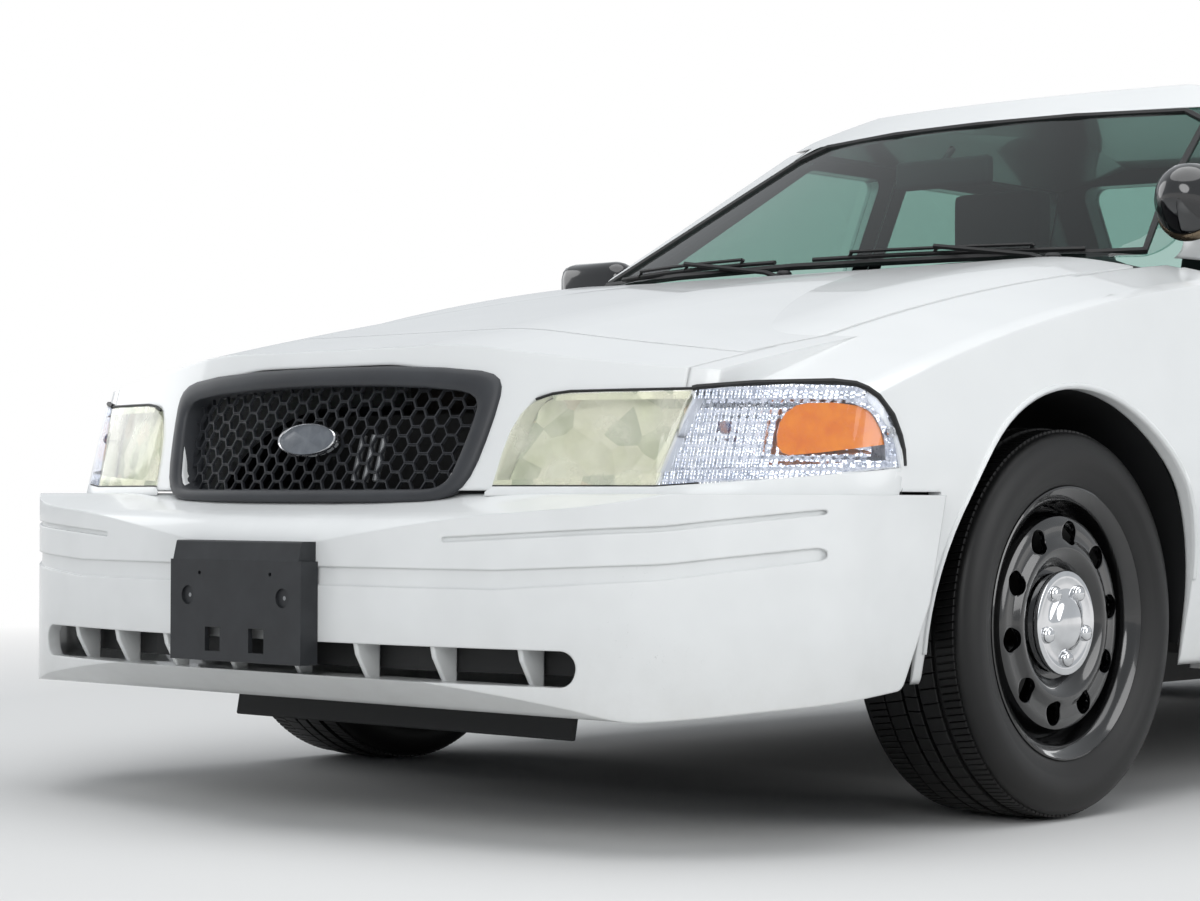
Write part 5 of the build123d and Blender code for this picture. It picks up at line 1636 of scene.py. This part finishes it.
@dataclass
class TailTrim:
    """Lamp walls, plate recess, lock and aerial at the back."""

    nodes: dict

    def build(self) -> None:
        """Builds the rear trim."""
        lamps = self.nodes["tail_lamps"]
        points = [skin_point(lamps, (x, 5.0, 0.755), (0, -1, 0)) + Vector((0, -0.030, 0))
                  for x in (0.640, 0.70, 0.76, 0.82, 0.87)]
        wall = curtain("tail_lamp_left_reflector", points, (0, 0.0, 0.150), 0.003)
        dress(wall, RIBBED_REFLECTOR)
        twin = mirrored(wall, "tail_lamp_right_reflector")
        for piece in (wall, twin):
            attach(piece, "body")
        lid = self.nodes["trunk_lid"]
        rear = skin_point(lid, (0, 5.0, 0.82), (0, -1, 0))
        band = block("lid_plate_recess", (-0.165, rear.y - 0.004, 0.752), (0.165, rear.y + 0.004, 0.905),
                     0.003)
        dress(band, BLACK_POLYPROPYLENE)
        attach(band, "trunk_lid")
        lock = turned("lid_lock", [(0.0, 0.016), (0.004, 0.016), (0.006, 0.012), (0.006, 0.0)], Axis.Y,
                      skin_point(lid, (0, 5.0, 0.930), (0, -1, 0)), 32)
        dress(lock, CHROME)
        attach(lock, "trunk_lid")
        spot = top_point(lid, 0.42, 4.62)
        mast = rod("aerial_mast", [spot + Vector((0, 0, 0.0)), spot + Vector((0, 0.02, 0.38))], 0.0018, 8)
        foot = turned("aerial_foot", [(0.0, 0.020), (0.010, 0.017), (0.024, 0.010), (0.030, 0.0)], Axis.Z,
                      spot, 28)
        aerial = joined([mast, foot], "aerial")
        smooth(aerial, 40)
        dress(aerial, BLACK_POLYPROPYLENE)
        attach(aerial, "trunk_lid")


@dataclass
class Cabin:
    """Stuffed seats and the steering wheel."""

    seat_x: float = 0.375
    cushion_half: float = 0.215
    roll: float = 0.045
    bench_half: float = 0.615
    bench_roll: float = 0.040

    def build(self) -> None:
        """Builds both front seats, the rear bench and the steering wheel."""
        self.make_front_seats()
        self.make_bench()
        self.make_steering_wheel()

    def cushion(self, name: str, low: Point, high: Point, lean: float, pivot: Point,
                crown: float) -> bpy.types.Object:
        """One stuffed cushion: a block whose edges are rolled and whose face swells.

        Args:
            name: the cushion's name.
            low: its lowest corner before it leans.
            high: its highest corner before it leans.
            lean: its turn about X, in radians.
            pivot: the point that it leans about.
            crown: how wide its rolled edges are.

        Returns:
            The cushion.
        """
        piece = block(name, low, high)
        with editing(piece):
            bpy.ops.mesh.subdivide(number_cuts=5)
        bevelled(piece, crown, 4, 60)
        soft = piece.modifiers.new("soft", "SMOOTH")
        soft.factor = 0.5
        soft.iterations = 18
        apply_modifiers(piece)
        turn = Matrix.Rotation(lean, 4, "X")
        piece.data.transform(Matrix.Translation(pivot) @ turn @ Matrix.Translation(-Vector(pivot)))
        smooth(piece, 60)
        dress(piece, SEAT_CLOTH)
        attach(piece, "body")
        return piece

    def make_front_seats(self) -> None:
        """Base, back and headrest of each front seat."""
        first = None
        for side, sign in (("left", 1), ("right", -1)):
            x0, x1 = sorted((sign * (self.seat_x - self.cushion_half),
                             sign * (self.seat_x + self.cushion_half)))
            middle = sign * self.seat_x
            base = self.cushion(f"seat_base_{side}", (x0, NOSE_Y + 2.105, 0.345), (x1, NOSE_Y + 2.630, 0.515),
                                0.0, (0, 0, 0), self.roll)
            self.cushion(f"seat_back_{side}", (x0, NOSE_Y + 2.600, 0.500), (x1, NOSE_Y + 2.730, 1.150), -0.16,
                         (0, NOSE_Y + 2.66, 0.50), self.roll)
            self.cushion(f"headrest_{side}", (middle - 0.125, NOSE_Y + 2.735, 1.172),
                         (middle + 0.125, NOSE_Y + 2.812, 1.318), 0.0, (0, 0, 0), 0.030)
            posts = rod(f"headrest_post_{side}", [(middle, NOSE_Y + 2.755, 1.10),
                                                  (middle, NOSE_Y + 2.770, 1.20)], 0.008, 12)
            plinth = block(f"seat_plinth_{side}", (middle - 0.190, NOSE_Y + 2.200, 0.280),
                           (middle + 0.190, NOSE_Y + 2.560, 0.352), 0.006)
            for piece in (posts, plinth):
                dress(piece, CABIN_VINYL)
                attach(piece, "body")
            first = first or base
        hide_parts("front_seats")

    def make_bench(self) -> None:
        """The rear bench: a base that spans the floor step, and its back."""
        half = self.bench_half
        base = self.cushion("rear_bench_base", (-half, NOSE_Y + 3.115, 0.455), (half, NOSE_Y + 3.620, 0.600),
                            0.0, (0, 0, 0), self.bench_roll)
        self.cushion("rear_bench_back", (-half, NOSE_Y + 3.615, 0.560), (half, NOSE_Y + 3.740, 0.925), -0.14,
                     (0, NOSE_Y + 3.66, 0.56), self.bench_roll)
        plinth = block("rear_bench_plinth", (-0.610, NOSE_Y + 3.130, 0.445), (0.610, NOSE_Y + 3.330, 0.470),
                       0.004)
        dress(plinth, CABIN_VINYL)
        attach(plinth, "body")
        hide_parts("rear_seat")

    def make_steering_wheel(self) -> None:
        """The rim, three spokes and the padded boss."""
        circle = [(0.015 * math.sin(math.tau * i / 14),
                   0.185 + 0.0148 * math.cos(math.tau * i / 14)) for i in range(14)]
        rim = turned("rim", circle, Axis.Z, Vector((0, 0, 0)), 72, closed=True)
        smooth(rim, 60)
        parts = [rim]
        for angle in (90, 200, 340):
            spoke = block("spoke", (0.030, -0.016, -0.006), (0.182, 0.016, 0.006), 0.005)
            spoke.data.transform(Matrix.Rotation(math.radians(angle), 4, "Z"))
            parts.append(spoke)
        boss = block("boss", (-0.068, -0.055, -0.020), (0.068, 0.055, 0.020), 0.016)
        smooth(boss, 50)
        parts.append(boss)
        wheel = joined(parts, "steering_wheel_detail")
        rake = Matrix.Rotation(math.radians(25 - 90), 4, "X")
        wheel.data.transform(Matrix.Translation((0.370, NOSE_Y + 2.060, 0.880)) @ rake)
        dress(wheel, CABIN_VINYL)
        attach(wheel, "steering_wheel")
        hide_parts("steering_wheel")


def write_sizes() -> None:
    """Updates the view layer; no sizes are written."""
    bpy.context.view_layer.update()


def main() -> None:
    """Builds the studio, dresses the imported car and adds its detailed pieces."""
    logging.basicConfig(level=logging.INFO, format="%(message)s")
    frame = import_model()
    nodes = frame["nodes"]
    Studio().build()
    Bodywork(nodes).dress()
    RoadWheel().build()
    FrontLamps().build()
    Grille().build()
    ArchLips(nodes).build()
    PlateBracket().build()
    ScreenGear(nodes).build()
    SpotLamp().build()
    SideTrim(nodes).build()
    TailTrim(nodes).build()
    Cabin().build()
    write_sizes()
    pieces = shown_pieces()
    for piece in pieces:
        LOG.info("%s", piece.name)
    LOG.info("%d pieces", len(pieces))


if __name__ == "__main__":
    main()
